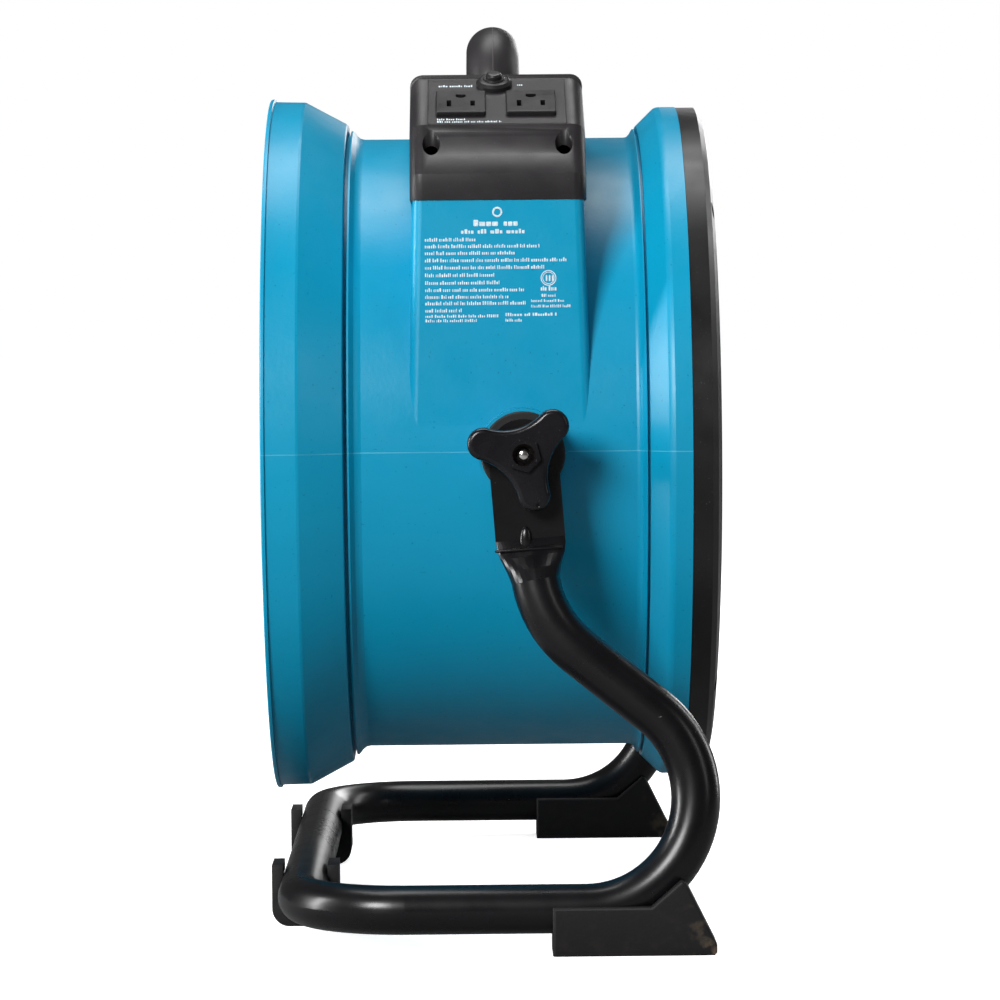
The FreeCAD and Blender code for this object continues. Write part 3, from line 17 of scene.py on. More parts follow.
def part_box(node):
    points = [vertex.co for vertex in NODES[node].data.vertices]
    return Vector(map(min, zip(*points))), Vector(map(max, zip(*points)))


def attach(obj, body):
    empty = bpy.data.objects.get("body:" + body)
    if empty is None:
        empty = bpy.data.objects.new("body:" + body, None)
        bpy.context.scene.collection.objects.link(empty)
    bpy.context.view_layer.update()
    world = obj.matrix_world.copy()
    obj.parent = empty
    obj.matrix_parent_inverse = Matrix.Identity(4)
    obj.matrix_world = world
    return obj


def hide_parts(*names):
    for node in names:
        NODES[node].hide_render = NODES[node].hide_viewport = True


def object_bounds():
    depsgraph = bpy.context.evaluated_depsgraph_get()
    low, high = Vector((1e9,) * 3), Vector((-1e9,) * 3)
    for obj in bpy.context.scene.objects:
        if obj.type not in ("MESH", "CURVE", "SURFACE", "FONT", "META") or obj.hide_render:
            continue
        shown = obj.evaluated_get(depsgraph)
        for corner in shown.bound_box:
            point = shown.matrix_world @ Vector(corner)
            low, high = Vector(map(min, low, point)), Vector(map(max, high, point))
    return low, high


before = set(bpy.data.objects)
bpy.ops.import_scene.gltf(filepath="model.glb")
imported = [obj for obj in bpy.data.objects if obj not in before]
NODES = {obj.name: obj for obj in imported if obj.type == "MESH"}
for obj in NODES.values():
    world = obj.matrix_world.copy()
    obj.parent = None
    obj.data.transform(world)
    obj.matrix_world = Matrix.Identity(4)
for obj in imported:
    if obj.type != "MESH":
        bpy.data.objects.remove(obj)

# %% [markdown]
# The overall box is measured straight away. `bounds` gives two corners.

CAD_BOX = [list(corner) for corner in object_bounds()]
bpy.ops.object.select_all(action="DESELECT")
print("nodes:", len(NODES))
print("box in metres:", [[round(v, 4) for v in corner] for corner in CAD_BOX])

# %% [markdown]
# ## Camera
#
# The camera stands in front of the left side, at about the height of the fan's
# axis, and looks very slightly down. A long lens far away keeps the round duct
# from looking swollen. The angles are three small turns about the world's axes.

# %% Place the camera
CAMERA_PLACE = (-0.0145, -2.3708, 0.3292)
CAMERA_DOWN = 87.42
CAMERA_YAW = -0.47
CAMERA_ROLL = -0.5
LENS = 149.97
SENSOR_WIDTH = 36.0
camera_data = bpy.data.cameras.new("side_camera")
camera_data.lens = LENS
camera_data.sensor_width = SENSOR_WIDTH
camera = bpy.data.objects.new("side_camera", camera_data)
camera.matrix_world = (
    Matrix.Translation(CAMERA_PLACE)
    @ Matrix.Rotation(math.radians(CAMERA_YAW), 4, "Z")
    @ Matrix.Rotation(math.radians(CAMERA_DOWN), 4, "X")
    @ Matrix.Rotation(math.radians(CAMERA_ROLL), 4, "Z")
)
bpy.context.scene.collection.objects.link(camera)
bpy.context.scene.camera = camera
print("camera stands", round(abs(CAMERA_PLACE[1]), 3), "m in front of the axis")

# %% [markdown]
# ## Studio
#
# A white sweep is the usual way to show a product: one sheet that starts as the
# floor and curves up behind. Here the floor is a plain pale plane, and the world
# behind it is white too, so the two meet with no line. The plane is a primitive,
# cut into a few squares and left flat, because the stand rests on it.

# %% Make the floor
def select_only(piece):
    """One piece selected and active, as an operator expects."""
    bpy.ops.object.select_all(action="DESELECT")
    piece.select_set(True)
    bpy.context.view_layer.objects.active = piece


FLOOR_SIZE = 60.0
bpy.ops.mesh.primitive_plane_add(size=FLOOR_SIZE, location=(0.0, 0.0, CAD_BOX[0][2]))
floor = bpy.context.object
floor.name = "studio_floor"
bpy.ops.object.mode_set(mode="EDIT")
bpy.ops.mesh.subdivide(number_cuts=4)
bpy.ops.object.mode_set(mode="OBJECT")
bpy.ops.object.transform_apply(location=True, rotation=True, scale=True)
print("floor at z =", round(CAD_BOX[0][2], 4))

# %% [markdown]
# Soft boxes are area lights. A big one in front on the left does most of the work,
# so the side that faces it is the brightest and the cone turning away from it is
# darker. One overhead lights the rims, and two tall strips draw the long highlights
# on the black tube. The light table says where each stands and where it points.

# %% Hang the soft boxes
SOFT_BOXES = {
    # name: (place, aim, width, height, watts)
    "key_box": ((-1.25, -2.5, 1.45), (0.0, 0.0, 0.3), 0.9, 0.9, 92.0),
    "overhead_box": ((-0.1, 0.25, 2.1), (0.0, 0.0, 0.3), 1.4, 0.9, 24.0),
    "fill_box": ((2.1, -1.6, 1.1), (0.0, 0.0, 0.25), 0.4, 1.4, 5.0),
    "left_strip": ((-1.8, -0.25, 0.5), (0.0, -0.1, 0.3), 0.22, 1.2, 30.0),
    "right_strip": ((1.6, 0.9, 0.75), (0.0, 0.0, 0.25), 0.3, 1.5, 10.0),
    "back_box": ((0.9, 2.6, 1.0), (0.0, 0.0, 0.2), 1.2, 1.0, 20.0),
}


def hang_soft_box(name, place, aim, width, height, watts):
    """An area light at a place, turned to face its aim."""
    light = bpy.data.lights.new(name, "AREA")
    light.shape = "RECTANGLE"
    light.size, light.size_y, light.energy = width, height, watts
    box = bpy.data.objects.new(name, light)
    box.location = place
    box.rotation_euler = (Vector(aim) - Vector(place)).to_track_quat("-Z", "Y").to_euler()
    bpy.context.scene.collection.objects.link(box)


for name, (place, aim, width, height, watts) in SOFT_BOXES.items():
    hang_soft_box(name, place, aim, width, height, watts)
print("soft boxes:", ", ".join(SOFT_BOXES))

# %% [markdown]
# The world is white where it is seen directly, and dimmer where it only lights the
# object, so that the blacks stay black. A Light Path node tells the two apart.

# %% Light the world
BACKGROUND_WHITE = 1.0
WORLD_FILL = 0.07
world = bpy.data.worlds.new("white_room")
bpy.context.scene.world = world
world.use_nodes = True
world_nodes, world_links = world.node_tree.nodes, world.node_tree.links
backdrop = world_nodes["Background"]
backdrop.inputs["Color"].default_value = (1.0, 1.0, 1.0, 1.0)
ray_kind = world_nodes.new("ShaderNodeLightPath")
strength = world_nodes.new("ShaderNodeMapRange")
strength.inputs["To Min"].default_value = WORLD_FILL
strength.inputs["To Max"].default_value = BACKGROUND_WHITE
world_links.new(ray_kind.outputs["Is Camera Ray"], strength.inputs["Value"])
world_links.new(strength.outputs["Result"], backdrop.inputs["Strength"])
bpy.context.scene.view_settings.view_transform = "Standard"
print("world fill:", WORLD_FILL)

# %% [markdown]
# ## Finishes
#
# Each finish is a Principled surface fed by a few noises. Noise on Object
# coordinates is measured in metres, so a scale of 1000 gives grains of about a
# millimetre. Six small helpers are enough. They start a finish, make a noise,
# stretch a value's range, blend two colours, do one sum, and add a bump.

# %% Helpers for every finish
def start_finish(name, **fixed):
    """A material with its Principled surface and the object's own coordinates."""
    finish = bpy.data.materials.new(name)
    finish.use_nodes = True
    nodes, links = finish.node_tree.nodes, finish.node_tree.links
    surface = nodes["Principled BSDF"]
    for socket, value in fixed.items():
        surface.inputs[socket.replace("_", " ")].default_value = value
    place = nodes.new("ShaderNodeTexCoord").outputs["Object"]
    return finish, nodes, links, surface, place


def stretch(nodes, links, value, low, high, to_low, to_high):
    """Maps low..high of a value to to_low..to_high and holds the ends."""
    ramp = nodes.new("ShaderNodeMapRange")
    ramp.inputs["From Min"].default_value = low
    ramp.inputs["From Max"].default_value = high
    ramp.inputs["To Min"].default_value = to_low
    ramp.inputs["To Max"].default_value = to_high
    links.new(value, ramp.inputs["Value"])
    return ramp.outputs["Result"]


def grain(nodes, links, place, scale, detail=2.0, squeeze=None):
    """A noise of so many grains to the metre, optionally squeezed along an axis."""
    noise = nodes.new("ShaderNodeTexNoise")
    noise.inputs["Scale"].default_value = scale
    noise.inputs["Detail"].default_value = detail
    if squeeze:
        mapping = nodes.new("ShaderNodeMapping")
        mapping.inputs["Scale"].default_value = squeeze
        links.new(place, mapping.inputs["Vector"])
        place = mapping.outputs["Vector"]
    links.new(place, noise.inputs["Vector"])
    return noise.outputs["Fac"]


def blend_colours(nodes, links, amount, first, second):
    """first where amount is 0 and second where it is 1. Either may be a socket."""
    mix = nodes.new("ShaderNodeMix")
    mix.data_type = "RGBA"
    for socket, colour in ((mix.inputs[6], first), (mix.inputs[7], second)):
        if isinstance(colour, tuple):
            socket.default_value = (*colour, 1.0)
        else:
            links.new(colour, socket)
    links.new(amount, mix.inputs[0])
    return mix.outputs[2]


def maths(nodes, links, operation, first, second=None):
    """One Math node. Each input is a number or a socket."""
    node = nodes.new("ShaderNodeMath")
    node.operation = operation
    for socket, value in zip(node.inputs, (first, second)):
        if value is None:
            continue
        if isinstance(value, (int, float)):
            socket.default_value = value
        else:
            links.new(value, socket)
    return node.outputs["Value"]


def add_bump(nodes, links, surface, height, strength, distance):
    """A bump on the surface, on top of any bump it already has."""
    bump = nodes.new("ShaderNodeBump")
    bump.inputs["Strength"].default_value = strength
    bump.inputs["Distance"].default_value = distance
    links.new(height, bump.inputs["Height"])
    if surface.inputs["Normal"].links:
        links.new(surface.inputs["Normal"].links[0].from_socket, bump.inputs["Normal"])
    links.new(bump.outputs["Normal"], surface.inputs["Normal"])


print("helpers ready: start_finish, stretch, grain, blend_colours, maths, add_bump")

# %% [markdown]
# ### Blue duct plastic
#
# The duct is moulded in two halves, which meet in a thin line round it at the
# height of its axis. The line is painted a paler blue, a painted highlight of the
# light that catches the slight ridge there. The skin has a light orange peel, a
# faint unevenness of colour, and a few small pits, painted as dark specks of
# painted shade.
# The line comes from the height alone: how far a point is from the axis height,
# compared with half the line's width, and broken up by a stretched noise.

# %% Blue duct plastic
AXIS_HEIGHT = 0.2555
PARTING_HALF_WIDTH = 0.00032


def make_duct_blue():
    """Blue moulded plastic. Its parting line at the axis height is painted pale, a painted
    highlight.
    """
    finish, nodes, links, surface, place = start_finish(
        "duct_blue", IOR=1.45, Specular_IOR_Level=0.36
    )
    cloud = stretch(nodes, links, grain(nodes, links, place, 9.0, 3.0), 0.35, 0.65, 0.0, 1.0)
    colour = blend_colours(
        nodes, links, cloud, (0.0008, 0.268, 0.452), (0.0014, 0.292, 0.486)
    )
    # The dark specks are painted shade in small pits.
    painted_pit_shade = stretch(nodes, links, grain(nodes, links, place, 760.0, 0.0), 0.815, 0.83, 0.0, 0.4)
    colour = blend_colours(nodes, links, painted_pit_shade, colour, (0.0, 0.05, 0.09))
    axes = nodes.new("ShaderNodeSeparateXYZ")
    links.new(place, axes.inputs["Vector"])
    away = maths(nodes, links, "SUBTRACT", axes.outputs["Z"], AXIS_HEIGHT)
    away = maths(nodes, links, "ABSOLUTE", away)
    line = stretch(nodes, links, away, PARTING_HALF_WIDTH * 0.5, PARTING_HALF_WIDTH, 1.0, 0.0)
    worn = stretch(nodes, links, grain(nodes, links, place, 34.0, 2.0), 0.3, 0.62, 0.35, 1.0)
    line = maths(nodes, links, "MULTIPLY", line, worn)
    # The pale parting line is a painted highlight where light catches its ridge, and the noise
    # breaks it up.
    colour = blend_colours(nodes, links, line, colour, (0.07, 0.40, 0.56))
    links.new(colour, surface.inputs["Base Color"])
    wear = grain(nodes, links, place, 55.0, 4.0)
    links.new(stretch(nodes, links, wear, 0.3, 0.7, 0.30, 0.40), surface.inputs["Roughness"])
    add_bump(nodes, links, surface, grain(nodes, links, place, 420.0, 2.0), 0.10, 0.0006)
    add_bump(nodes, links, surface, grain(nodes, links, place, 2600.0, 1.0), 0.05, 0.0002)
    add_bump(nodes, links, surface, line, 0.25, 0.0003)
    return finish


print("parting line:", round(PARTING_HALF_WIDTH * 2000, 2), "mm wide")

# %% [markdown]
# ### Black plastics
#
# The cover, handle, knobs and guards are moulded from the same black plastic, with
# a fine spark texture that breaks up the shine. A little grey rubbing wanders over it
# at random. One maker serves them all, with its colour, shine and grain as numbers,
# and each use gets its own name. Two marks of the mould are optional: a seam is a fine
# pale line at one X, and a gate is the small pit that is left where the plastic flowed
# in, painted black as painted shade in the hollow.

# %% Black moulded plastic
GATE_RADIUS = 0.0009
GATE_SOFT = 0.0012
SEAM_HALF_WIDTH = 0.0003


def make_black_plastic(
    name, deep, worn, dull, bright, texture, depth, seam=None, gate=None
):
    """Black moulded plastic. seam is an X, and gate is a point seen along Y."""
    finish, nodes, links, surface, place = start_finish(
        name, IOR=1.5, Specular_IOR_Level=0.34
    )
    rub = stretch(nodes, links, grain(nodes, links, place, 24.0, 5.0), 0.42, 0.68, 0.0, 1.0)
    colour = blend_colours(nodes, links, rub, deep, worn)
    dust = stretch(nodes, links, grain(nodes, links, place, 1300.0, 0.0), 0.80, 0.84, 0.0, 0.3)
    colour = blend_colours(nodes, links, dust, colour, (0.12, 0.115, 0.11))
    if gate is not None:
        flat = nodes.new("ShaderNodeVectorMath")
        flat.operation = "MULTIPLY"
        flat.inputs[1].default_value = (1.0, 0.0, 1.0)
        links.new(place, flat.inputs[0])
        far = nodes.new("ShaderNodeVectorMath")
        far.operation = "DISTANCE"
        far.inputs[1].default_value = gate
        links.new(flat.outputs["Vector"], far.inputs[0])
        dot = stretch(nodes, links, far.outputs["Value"], GATE_RADIUS, GATE_SOFT, 1.0, 0.0)
        # The gate pit is painted black: painted shade in the hollow.
        colour = blend_colours(nodes, links, dot, colour, (0.0, 0.0, 0.0))
        hollow = maths(nodes, links, "SUBTRACT", 1.0, dot)
        add_bump(nodes, links, surface, hollow, 0.6, 0.0006)
    if seam is not None:
        axes = nodes.new("ShaderNodeSeparateXYZ")
        links.new(place, axes.inputs["Vector"])
        away = maths(nodes, links, "SUBTRACT", axes.outputs["X"], seam)
        away = maths(nodes, links, "ABSOLUTE", away)
        line = stretch(nodes, links, away, 0.0001, SEAM_HALF_WIDTH, 1.0, 0.0)
        colour = blend_colours(nodes, links, line, colour, (0.075, 0.07, 0.072))
        add_bump(nodes, links, surface, line, 0.4, 0.0003)
    links.new(colour, surface.inputs["Base Color"])
    shine = grain(nodes, links, place, 70.0, 4.0)
    links.new(stretch(nodes, links, shine, 0.3, 0.7, bright, dull), surface.inputs["Roughness"])
    add_bump(nodes, links, surface, grain(nodes, links, place, texture, 2.0), depth, 0.0003)
    return finish


print("gate mark:", round(GATE_RADIUS * 2000, 1), "mm across")

# %% [markdown]
# ### Powder coated steel
#
# The stand's tube is powder coated in black. The powder melts into a skin that is
# nearly smooth, with a slight orange peel, so its highlights are long and soft.
# A thin coat layer over a rougher base adds a little core to that wide glow.

# %% Powder coat
def make_powder_coat():
    """Black powder coat with a few small pale chips."""
    finish, nodes, links, surface, place = start_finish(
        "frame_black", IOR=1.5, Coat_Weight=0.08, Coat_Roughness=0.2,
        Specular_IOR_Level=0.32,
    )
    patch = stretch(nodes, links, grain(nodes, links, place, 14.0, 4.0), 0.35, 0.7, 0.0, 1.0)
    colour = blend_colours(
        nodes, links, patch, (0.0024, 0.0022, 0.0028), (0.0048, 0.0044, 0.0054)
    )
    chip = stretch(nodes, links, grain(nodes, links, place, 560.0, 1.0), 0.81, 0.825, 0.0, 0.6)
    colour = blend_colours(nodes, links, chip, colour, (0.22, 0.21, 0.2))
    links.new(colour, surface.inputs["Base Color"])
    shine = grain(nodes, links, place, 45.0, 3.0)
    links.new(stretch(nodes, links, shine, 0.3, 0.7, 0.25, 0.33), surface.inputs["Roughness"])
    add_bump(nodes, links, surface, grain(nodes, links, place, 700.0, 2.0), 0.05, 0.0003)
    return finish


print("powder coat maker ready")

# %% [markdown]
# ### Foot rubber
#
# The feet are moulded rubber: matte, and scuffed brown where they drag over a
# floor. The scuffs gather low on the foot and at its heel, so a noise is
# multiplied by a mask that fades with height and one that grows along X.

# %% Foot rubber
FOOT_TOP = 0.04
HEEL_START, HEEL_END = 0.094, 0.113


def make_foot_rubber():
    """Matte rubber, scuffed low down and at the heel."""
    finish, nodes, links, surface, place = start_finish(
        "foot_rubber", IOR=1.45, Specular_IOR_Level=0.3
    )
    axes = nodes.new("ShaderNodeSeparateXYZ")
    links.new(place, axes.inputs["Vector"])
    low = stretch(nodes, links, axes.outputs["Z"], 0.0, FOOT_TOP, 1.0, 0.5)
    heel = stretch(nodes, links, axes.outputs["X"], HEEL_START, HEEL_END, 0.04, 1.0)
    scuff = stretch(nodes, links, grain(nodes, links, place, 150.0, 6.0), 0.52, 0.68, 0.0, 1.0)
    scuff = maths(nodes, links, "MULTIPLY", scuff, maths(nodes, links, "MULTIPLY", low, heel))
    colour = blend_colours(
        nodes, links, scuff, (0.0080, 0.0074, 0.0080), (0.10, 0.075, 0.05)
    )
    links.new(colour, surface.inputs["Base Color"])
    links.new(stretch(nodes, links, scuff, 0.0, 1.0, 0.55, 0.85), surface.inputs["Roughness"])
    add_bump(nodes, links, surface, grain(nodes, links, place, 900.0, 3.0), 0.25, 0.0004)
    add_bump(nodes, links, surface, scuff, 0.3, 0.0004)
    return finish


print("heel scuffs grow from x =", HEEL_START, "to", HEEL_END)

# %% [markdown]
# ### Metals
#
# Plated screws, cast motor shells, brass inserts and laminated steel are all
# Principled metals. What sets them apart is the direction and size of the grain:
# turned or brushed parts have a grain stretched along one axis, and castings have
# a round one.

# %% Metals
def make_metal(name, pale, dark, smooth, rough, scale, squeeze=None, depth=0.1):
    """Bare metal. squeeze stretches its grain, as turning or brushing would."""
    finish, nodes, links, surface, place = start_finish(name, Metallic=1.0)
    streak = grain(nodes, links, place, scale, 3.0, squeeze)
    stain = stretch(nodes, links, grain(nodes, links, place, 60.0, 4.0), 0.4, 0.7, 0.0, 1.0)
    links.new(blend_colours(nodes, links, stain, pale, dark), surface.inputs["Base Color"])
    links.new(stretch(nodes, links, streak, 0.3, 0.7, smooth, rough), surface.inputs["Roughness"])
    add_bump(nodes, links, surface, streak, depth, 0.0002)
    return finish


print("metal maker ready")

# %% [markdown]
# ### Small plain finishes
#
# The board, the pale capacitor and terminal plastic, and the white print are dull
# and need only a little unevenness. They share one maker too.

# %% Dull finishes
def make_dull(name, first, second, scale, roughness):
    """A dull surface that wanders between two colours."""
    finish, nodes, links, surface, place = start_finish(name, IOR=1.48)
    cloud = stretch(nodes, links, grain(nodes, links, place, scale, 3.0), 0.38, 0.66, 0.0, 1.0)
    links.new(blend_colours(nodes, links, cloud, first, second), surface.inputs["Base Color"])
    rough = stretch(nodes, links, cloud, 0.0, 1.0, roughness - 0.06, roughness + 0.06)
    links.new(rough, surface.inputs["Roughness"])
    add_bump(nodes, links, surface, grain(nodes, links, place, 1500.0, 2.0), 0.08, 0.0002)
    return finish


print("dull maker ready")

# %% [markdown]
# ### Give every node its finish
#
# First each finish is made once, under its own name. The blacks differ mostly in
# depth and shine: the knobs are the darkest and glossiest, and the cover's plastic
# is greyer and matte.

# %% Make the finishes
FINISHES = {
    "duct_blue": make_duct_blue(),
    "cover_black": make_black_plastic(
        "cover_black", (0.016, 0.0145, 0.016), (0.026, 0.0235, 0.0255), 0.46, 0.34, 1500.0, 0.16
    ),
    "handle_black": make_black_plastic(
        "handle_black", (0.016, 0.0145, 0.016), (0.028, 0.0255, 0.0275), 0.5, 0.38, 1500.0, 0.16,
        seam=0.0025,
    ),
    "guard_black": make_black_plastic(
        "guard_black", (0.0062, 0.0058, 0.0063), (0.011, 0.0105, 0.011), 0.42, 0.32, 1100.0, 0.14
    ),
    "knob_black": make_black_plastic(
        "knob_black", (0.0042, 0.0038, 0.0052), (0.0080, 0.0074, 0.0092), 0.3, 0.2, 1900.0, 0.06,
        gate=(0.0227, 0.0, 0.2296),
    ),
    "socket_black": make_black_plastic(
        "socket_black", (0.010, 0.0095, 0.0105), (0.018, 0.017, 0.018), 0.4, 0.28, 2300.0, 0.08
    ),
    "disc_black": make_black_plastic(
        "disc_black", (0.008, 0.0078, 0.008), (0.014, 0.0138, 0.014), 0.6, 0.45, 800.0, 0.2
    ),
    "impeller_grey": make_black_plastic(
        "impeller_grey", (0.055, 0.055, 0.058), (0.085, 0.085, 0.09), 0.55, 0.4, 700.0, 0.14
    ),
    "guard_wire": make_black_plastic(
        "guard_wire", (0.016, 0.016, 0.017), (0.028, 0.028, 0.029), 0.4, 0.28, 1300.0, 0.1
    ),
    "frame_black": make_powder_coat(),
    "foot_rubber": make_foot_rubber(),
    "zinc_steel": make_metal(
        "zinc_steel", (0.72, 0.72, 0.71), (0.52, 0.51, 0.48), 0.2, 0.36, 900.0, (1.0, 0.2, 1.0)
    ),
    "bright_zinc": make_metal(
        "bright_zinc", (0.86, 0.85, 0.83), (0.74, 0.73, 0.70), 0.1, 0.2, 300.0, None, 0.02
    ),
    # A near-black metal for the knob inserts, which sit deep in the knob wells.
    "near_black_insert_metal": make_metal(
        "near_black_insert_metal", (0.030, 0.027, 0.024), (0.020, 0.018, 0.016), 0.25, 0.4, 800.0,
        (1.0, 0.25, 1.0),
    ),
    "motor_aluminium": make_metal(
        "motor_aluminium", (0.62, 0.62, 0.63), (0.42, 0.42, 0.43), 0.42, 0.6, 420.0, None, 0.3
    ),
    "core_steel": make_metal(
        "core_steel", (0.34, 0.34, 0.35), (0.22, 0.20, 0.18), 0.4, 0.55, 260.0,
        (12.0, 1.0, 1.0), 0.35,
    ),
    "brass": make_metal(
        "brass", (0.80, 0.62, 0.32), (0.62, 0.44, 0.2), 0.22, 0.38, 800.0, (1.0, 0.25, 1.0)
    ),
    "board": make_dull("board", (0.012, 0.11, 0.045), (0.018, 0.15, 0.06), 220.0, 0.42),
    "pale_plastic": make_dull(
        "pale_plastic", (0.68, 0.66, 0.6), (0.78, 0.77, 0.72), 90.0, 0.5
    ),
}
print("finishes made:", len(FINISHES))

# %% [markdown]
# A second table lists each finish with the nodes that wear it. Every CAD node must
# be in it exactly once, so the cell compares the table with the frame and prints
# what is missing before it fills the material slots.

# %% Finishes on the CAD nodes
def wear(piece, finish):
    """One finish, and no other, on a piece."""
    piece.data.materials.clear()
    piece.data.materials.append(finish)


WORN_BY = {
    "duct_blue": ["duct_housing"],
    "cover_black": ["control_cover", "socket_panel", "control_panel"],
    "handle_black": ["carry_handle"],
    "guard_black": ["rear_guard", "front_guard_clips", "guard_badge"],
    "knob_black": ["clamp_knob_left", "clamp_knob_right", "speed_knob"],
    "socket_black": [
        "outlet_front", "outlet_rear", "circuit_breaker", "breaker_button", "breaker_nut",
        "cord_gland", "gland_nut", "lead_grommet", "motor_lead",
    ],
    "disc_black": ["friction_disc_left", "friction_disc_right"],
    "impeller_grey": ["impeller"],
    "guard_wire": ["front_guard"],
    "frame_black": ["stand_frame", "motor_bracket"],
    "foot_rubber": ["rear_foot_left", "rear_foot_right", "front_foot_left", "front_foot_right"],
    "zinc_steel": [
        "foot_screws", "rear_guard_screws", "front_guard_screws", "motor_bolts",
        "bracket_screws", "cover_screws", "handle_screws",
        "backing_plate_left", "backing_plate_right",
        "clamp_washer_left", "clamp_washer_right", "impeller_nut", "shaft",
        "bearing_front", "bearing_rear", "pot_nut", "speed_pot", "pot_spindle",
    ],
    "motor_aluminium": ["motor_shell_front", "motor_shell_rear"],
    "core_steel": ["stator", "rotor"],
    "bright_zinc": ["pivot_stud_left", "pivot_stud_right"],
    "near_black_insert_metal": ["knob_insert_left", "knob_insert_right"],
    "brass": ["outlet_contacts"],
    "board": ["speed_board"],
    "pale_plastic": ["run_capacitor", "terminal_block"],
}
listed = sorted(node for nodes in WORN_BY.values() for node in nodes)
print("listed:", len(listed), "missing:", sorted(set(NODES) - set(listed)))
for finish_name, members in WORN_BY.items():
    for node in members:
        wear(NODES[node], FINISHES[finish_name])

# %% [markdown]
# ### Studio paper
#
# The floor is white paper, lit so strongly that it looks evenly white. Real paper
# that bright would throw light up under the object and wash out its blacks, which
# a studio avoids with black cards. Here a Light Path node does the cards' work:
# the paper is bright and softly shadowed where it is seen, and dim as a lamp.

# %% Finish of the floor
floor_finish, nodes, links, surface, place = start_finish("studio_paper", Roughness=0.9)
paper = stretch(nodes, links, grain(nodes, links, place, 3.0, 2.0), 0.3, 0.7, 0.0, 1.0)
seen = nodes.new("ShaderNodeLightPath").outputs["Is Camera Ray"]
tint = blend_colours(nodes, links, paper, (0.86, 0.86, 0.86), (0.88, 0.88, 0.88))
tint = blend_colours(nodes, links, seen, (0.22, 0.22, 0.22), tint)
links.new(tint, surface.inputs["Base Color"])
surface.inputs["Emission Color"].default_value = (1.0, 1.0, 1.0, 1.0)
reach = nodes.new("ShaderNodeVectorMath")
reach.operation = "LENGTH"
links.new(place, reach.inputs[0])
glow = stretch(nodes, links, reach.outputs["Value"], 0.5, 2.2, 0.80, 1.0)
links.new(maths(nodes, links, "MULTIPLY", seen, glow), surface.inputs["Emission Strength"])
floor.data.materials.append(floor_finish)
print("floor finish:", floor_finish.name)

# %% [markdown]
# ## Print
#
# The side of the duct carries a pale printed block of ratings, and the socket
# panel has short captions. What they say doesn't matter here, so each row becomes
# a run of plain bars, as wide and as closely set as letters are. Print is a skin
# of ink, so a bar is a twentieth of a millimetre thick. One bar is modelled, and
# every other is a copy of its mesh, stretched to its own size.

# %% Model one bar of ink
import random

import bmesh

MM = 0.001
INK = 0.05 * MM


def edit_pick(piece, kind, wanted):
    """In edit mode, selects just the faces or edges that a test picks."""
    select_only(piece)
    bpy.ops.object.mode_set(mode="EDIT")
    bpy.ops.mesh.select_mode(type="FACE" if kind == "faces" else "EDGE")
    bpy.ops.mesh.select_all(action="DESELECT")
    mesh = bmesh.from_edit_mesh(piece.data)
    for part in getattr(mesh, kind):
        part.select_set(wanted(part))
    bmesh.update_edit_mesh(piece.data)


bpy.ops.mesh.primitive_cube_add(size=1.0, location=(0.5, 0.5, 0.5))
ink_bar = bpy.context.object
ink_bar.name = "ink_bar"
edit_pick(ink_bar, "edges", lambda e: abs(e.verts[0].co.z - e.verts[1].co.z) > 0.5)
bpy.ops.mesh.bevel(offset=0.14, segments=2)
bpy.ops.object.mode_set(mode="OBJECT")
bpy.ops.object.transform_apply(location=True, rotation=True, scale=True)
print("one bar has", len(ink_bar.data.polygons), "faces")

# %% [markdown]
# A print has to lie on its face, and that face may lean. A ray sent at the CAD node
# gives the point it meets and the face's normal, and those make a matrix: X across
# the face, Y up it, Z out of it. Bars are then laid out flat, in millimetres.

# %% Find a face and lay ink on it
def face_place(node, start, toward):
    """The place on a node that a ray meets, with X across, Y up and Z out of it."""
    found, spot, normal, _ = NODES[node].ray_cast(Vector(start), Vector(toward))
    across = (Vector((1.0, 0.0, 0.0)) - normal * normal.x).normalized()
    up = normal.cross(across)
    turned = Matrix((across, up, normal)).transposed().to_4x4()
    return Matrix.Translation(spot) @ turned


def lay_ink(name, face, bars, extras=()):
    """One printed piece from bars (left, bottom, width, height) in millimetres."""
    pieces = list(extras)
    for left, bottom, width, height in bars:
        copy = bpy.data.objects.new(name, ink_bar.data.copy())
        bpy.context.scene.collection.objects.link(copy)
        size = Matrix.Diagonal((width * MM, height * MM, INK, 1.0))
        copy.data.transform(Matrix.Translation((left * MM, bottom * MM, 0.0)) @ size)
        pieces.append(copy)
    bpy.ops.object.select_all(action="DESELECT")
    for piece in pieces:
        piece.select_set(True)
    bpy.context.view_layer.objects.active = pieces[0]
    bpy.ops.object.join()
    printed = bpy.context.object
    printed.name = name
    printed.data.name = name
    printed.data.transform(face)
    wear(printed, WHITE_INK)
    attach(printed, "housing")
    print(name, "has", len(printed.data.polygons), "faces")


def letter_run(left, right, middle, height, letter, gap, seed):
    """Bars as close as letters from left to right, with a word gap here and there."""
    draw = random.Random(seed)
    bars, x, word = [], left, draw.randint(3, 8)
    while x < right - 0.3:
        width = letter * draw.uniform(0.55, 1.35)
        tall = height * (1.0 if draw.random() < 0.35 else 0.7)
        bars.append((x, middle - height / 2, min(width, right - x), tall))
        x += width + gap
        word -= 1
        if word == 0:
            x += letter
            word = draw.randint(3, 8)
    return bars


WHITE_INK = make_dull("white_ink", (0.50, 0.62, 0.68), (0.72, 0.80, 0.84), 700.0, 0.5)
print("ink finish:", WHITE_INK.name)

# %% [markdown]
# ### Rating block
#
# The block sits in the middle of the saddle's face: an ornament and two headings
# on top, then rows of small type set flush left, and a round mark at the right.
# The first table gives each row's right end, its place above the block's middle and
# its height, all in millimetres. The second holds the headings and the type near the
# round mark. The round mark starts as a filled circle: its face is inset, the middle deleted,
# and the ring that is left is extruded to the thickness of the ink.

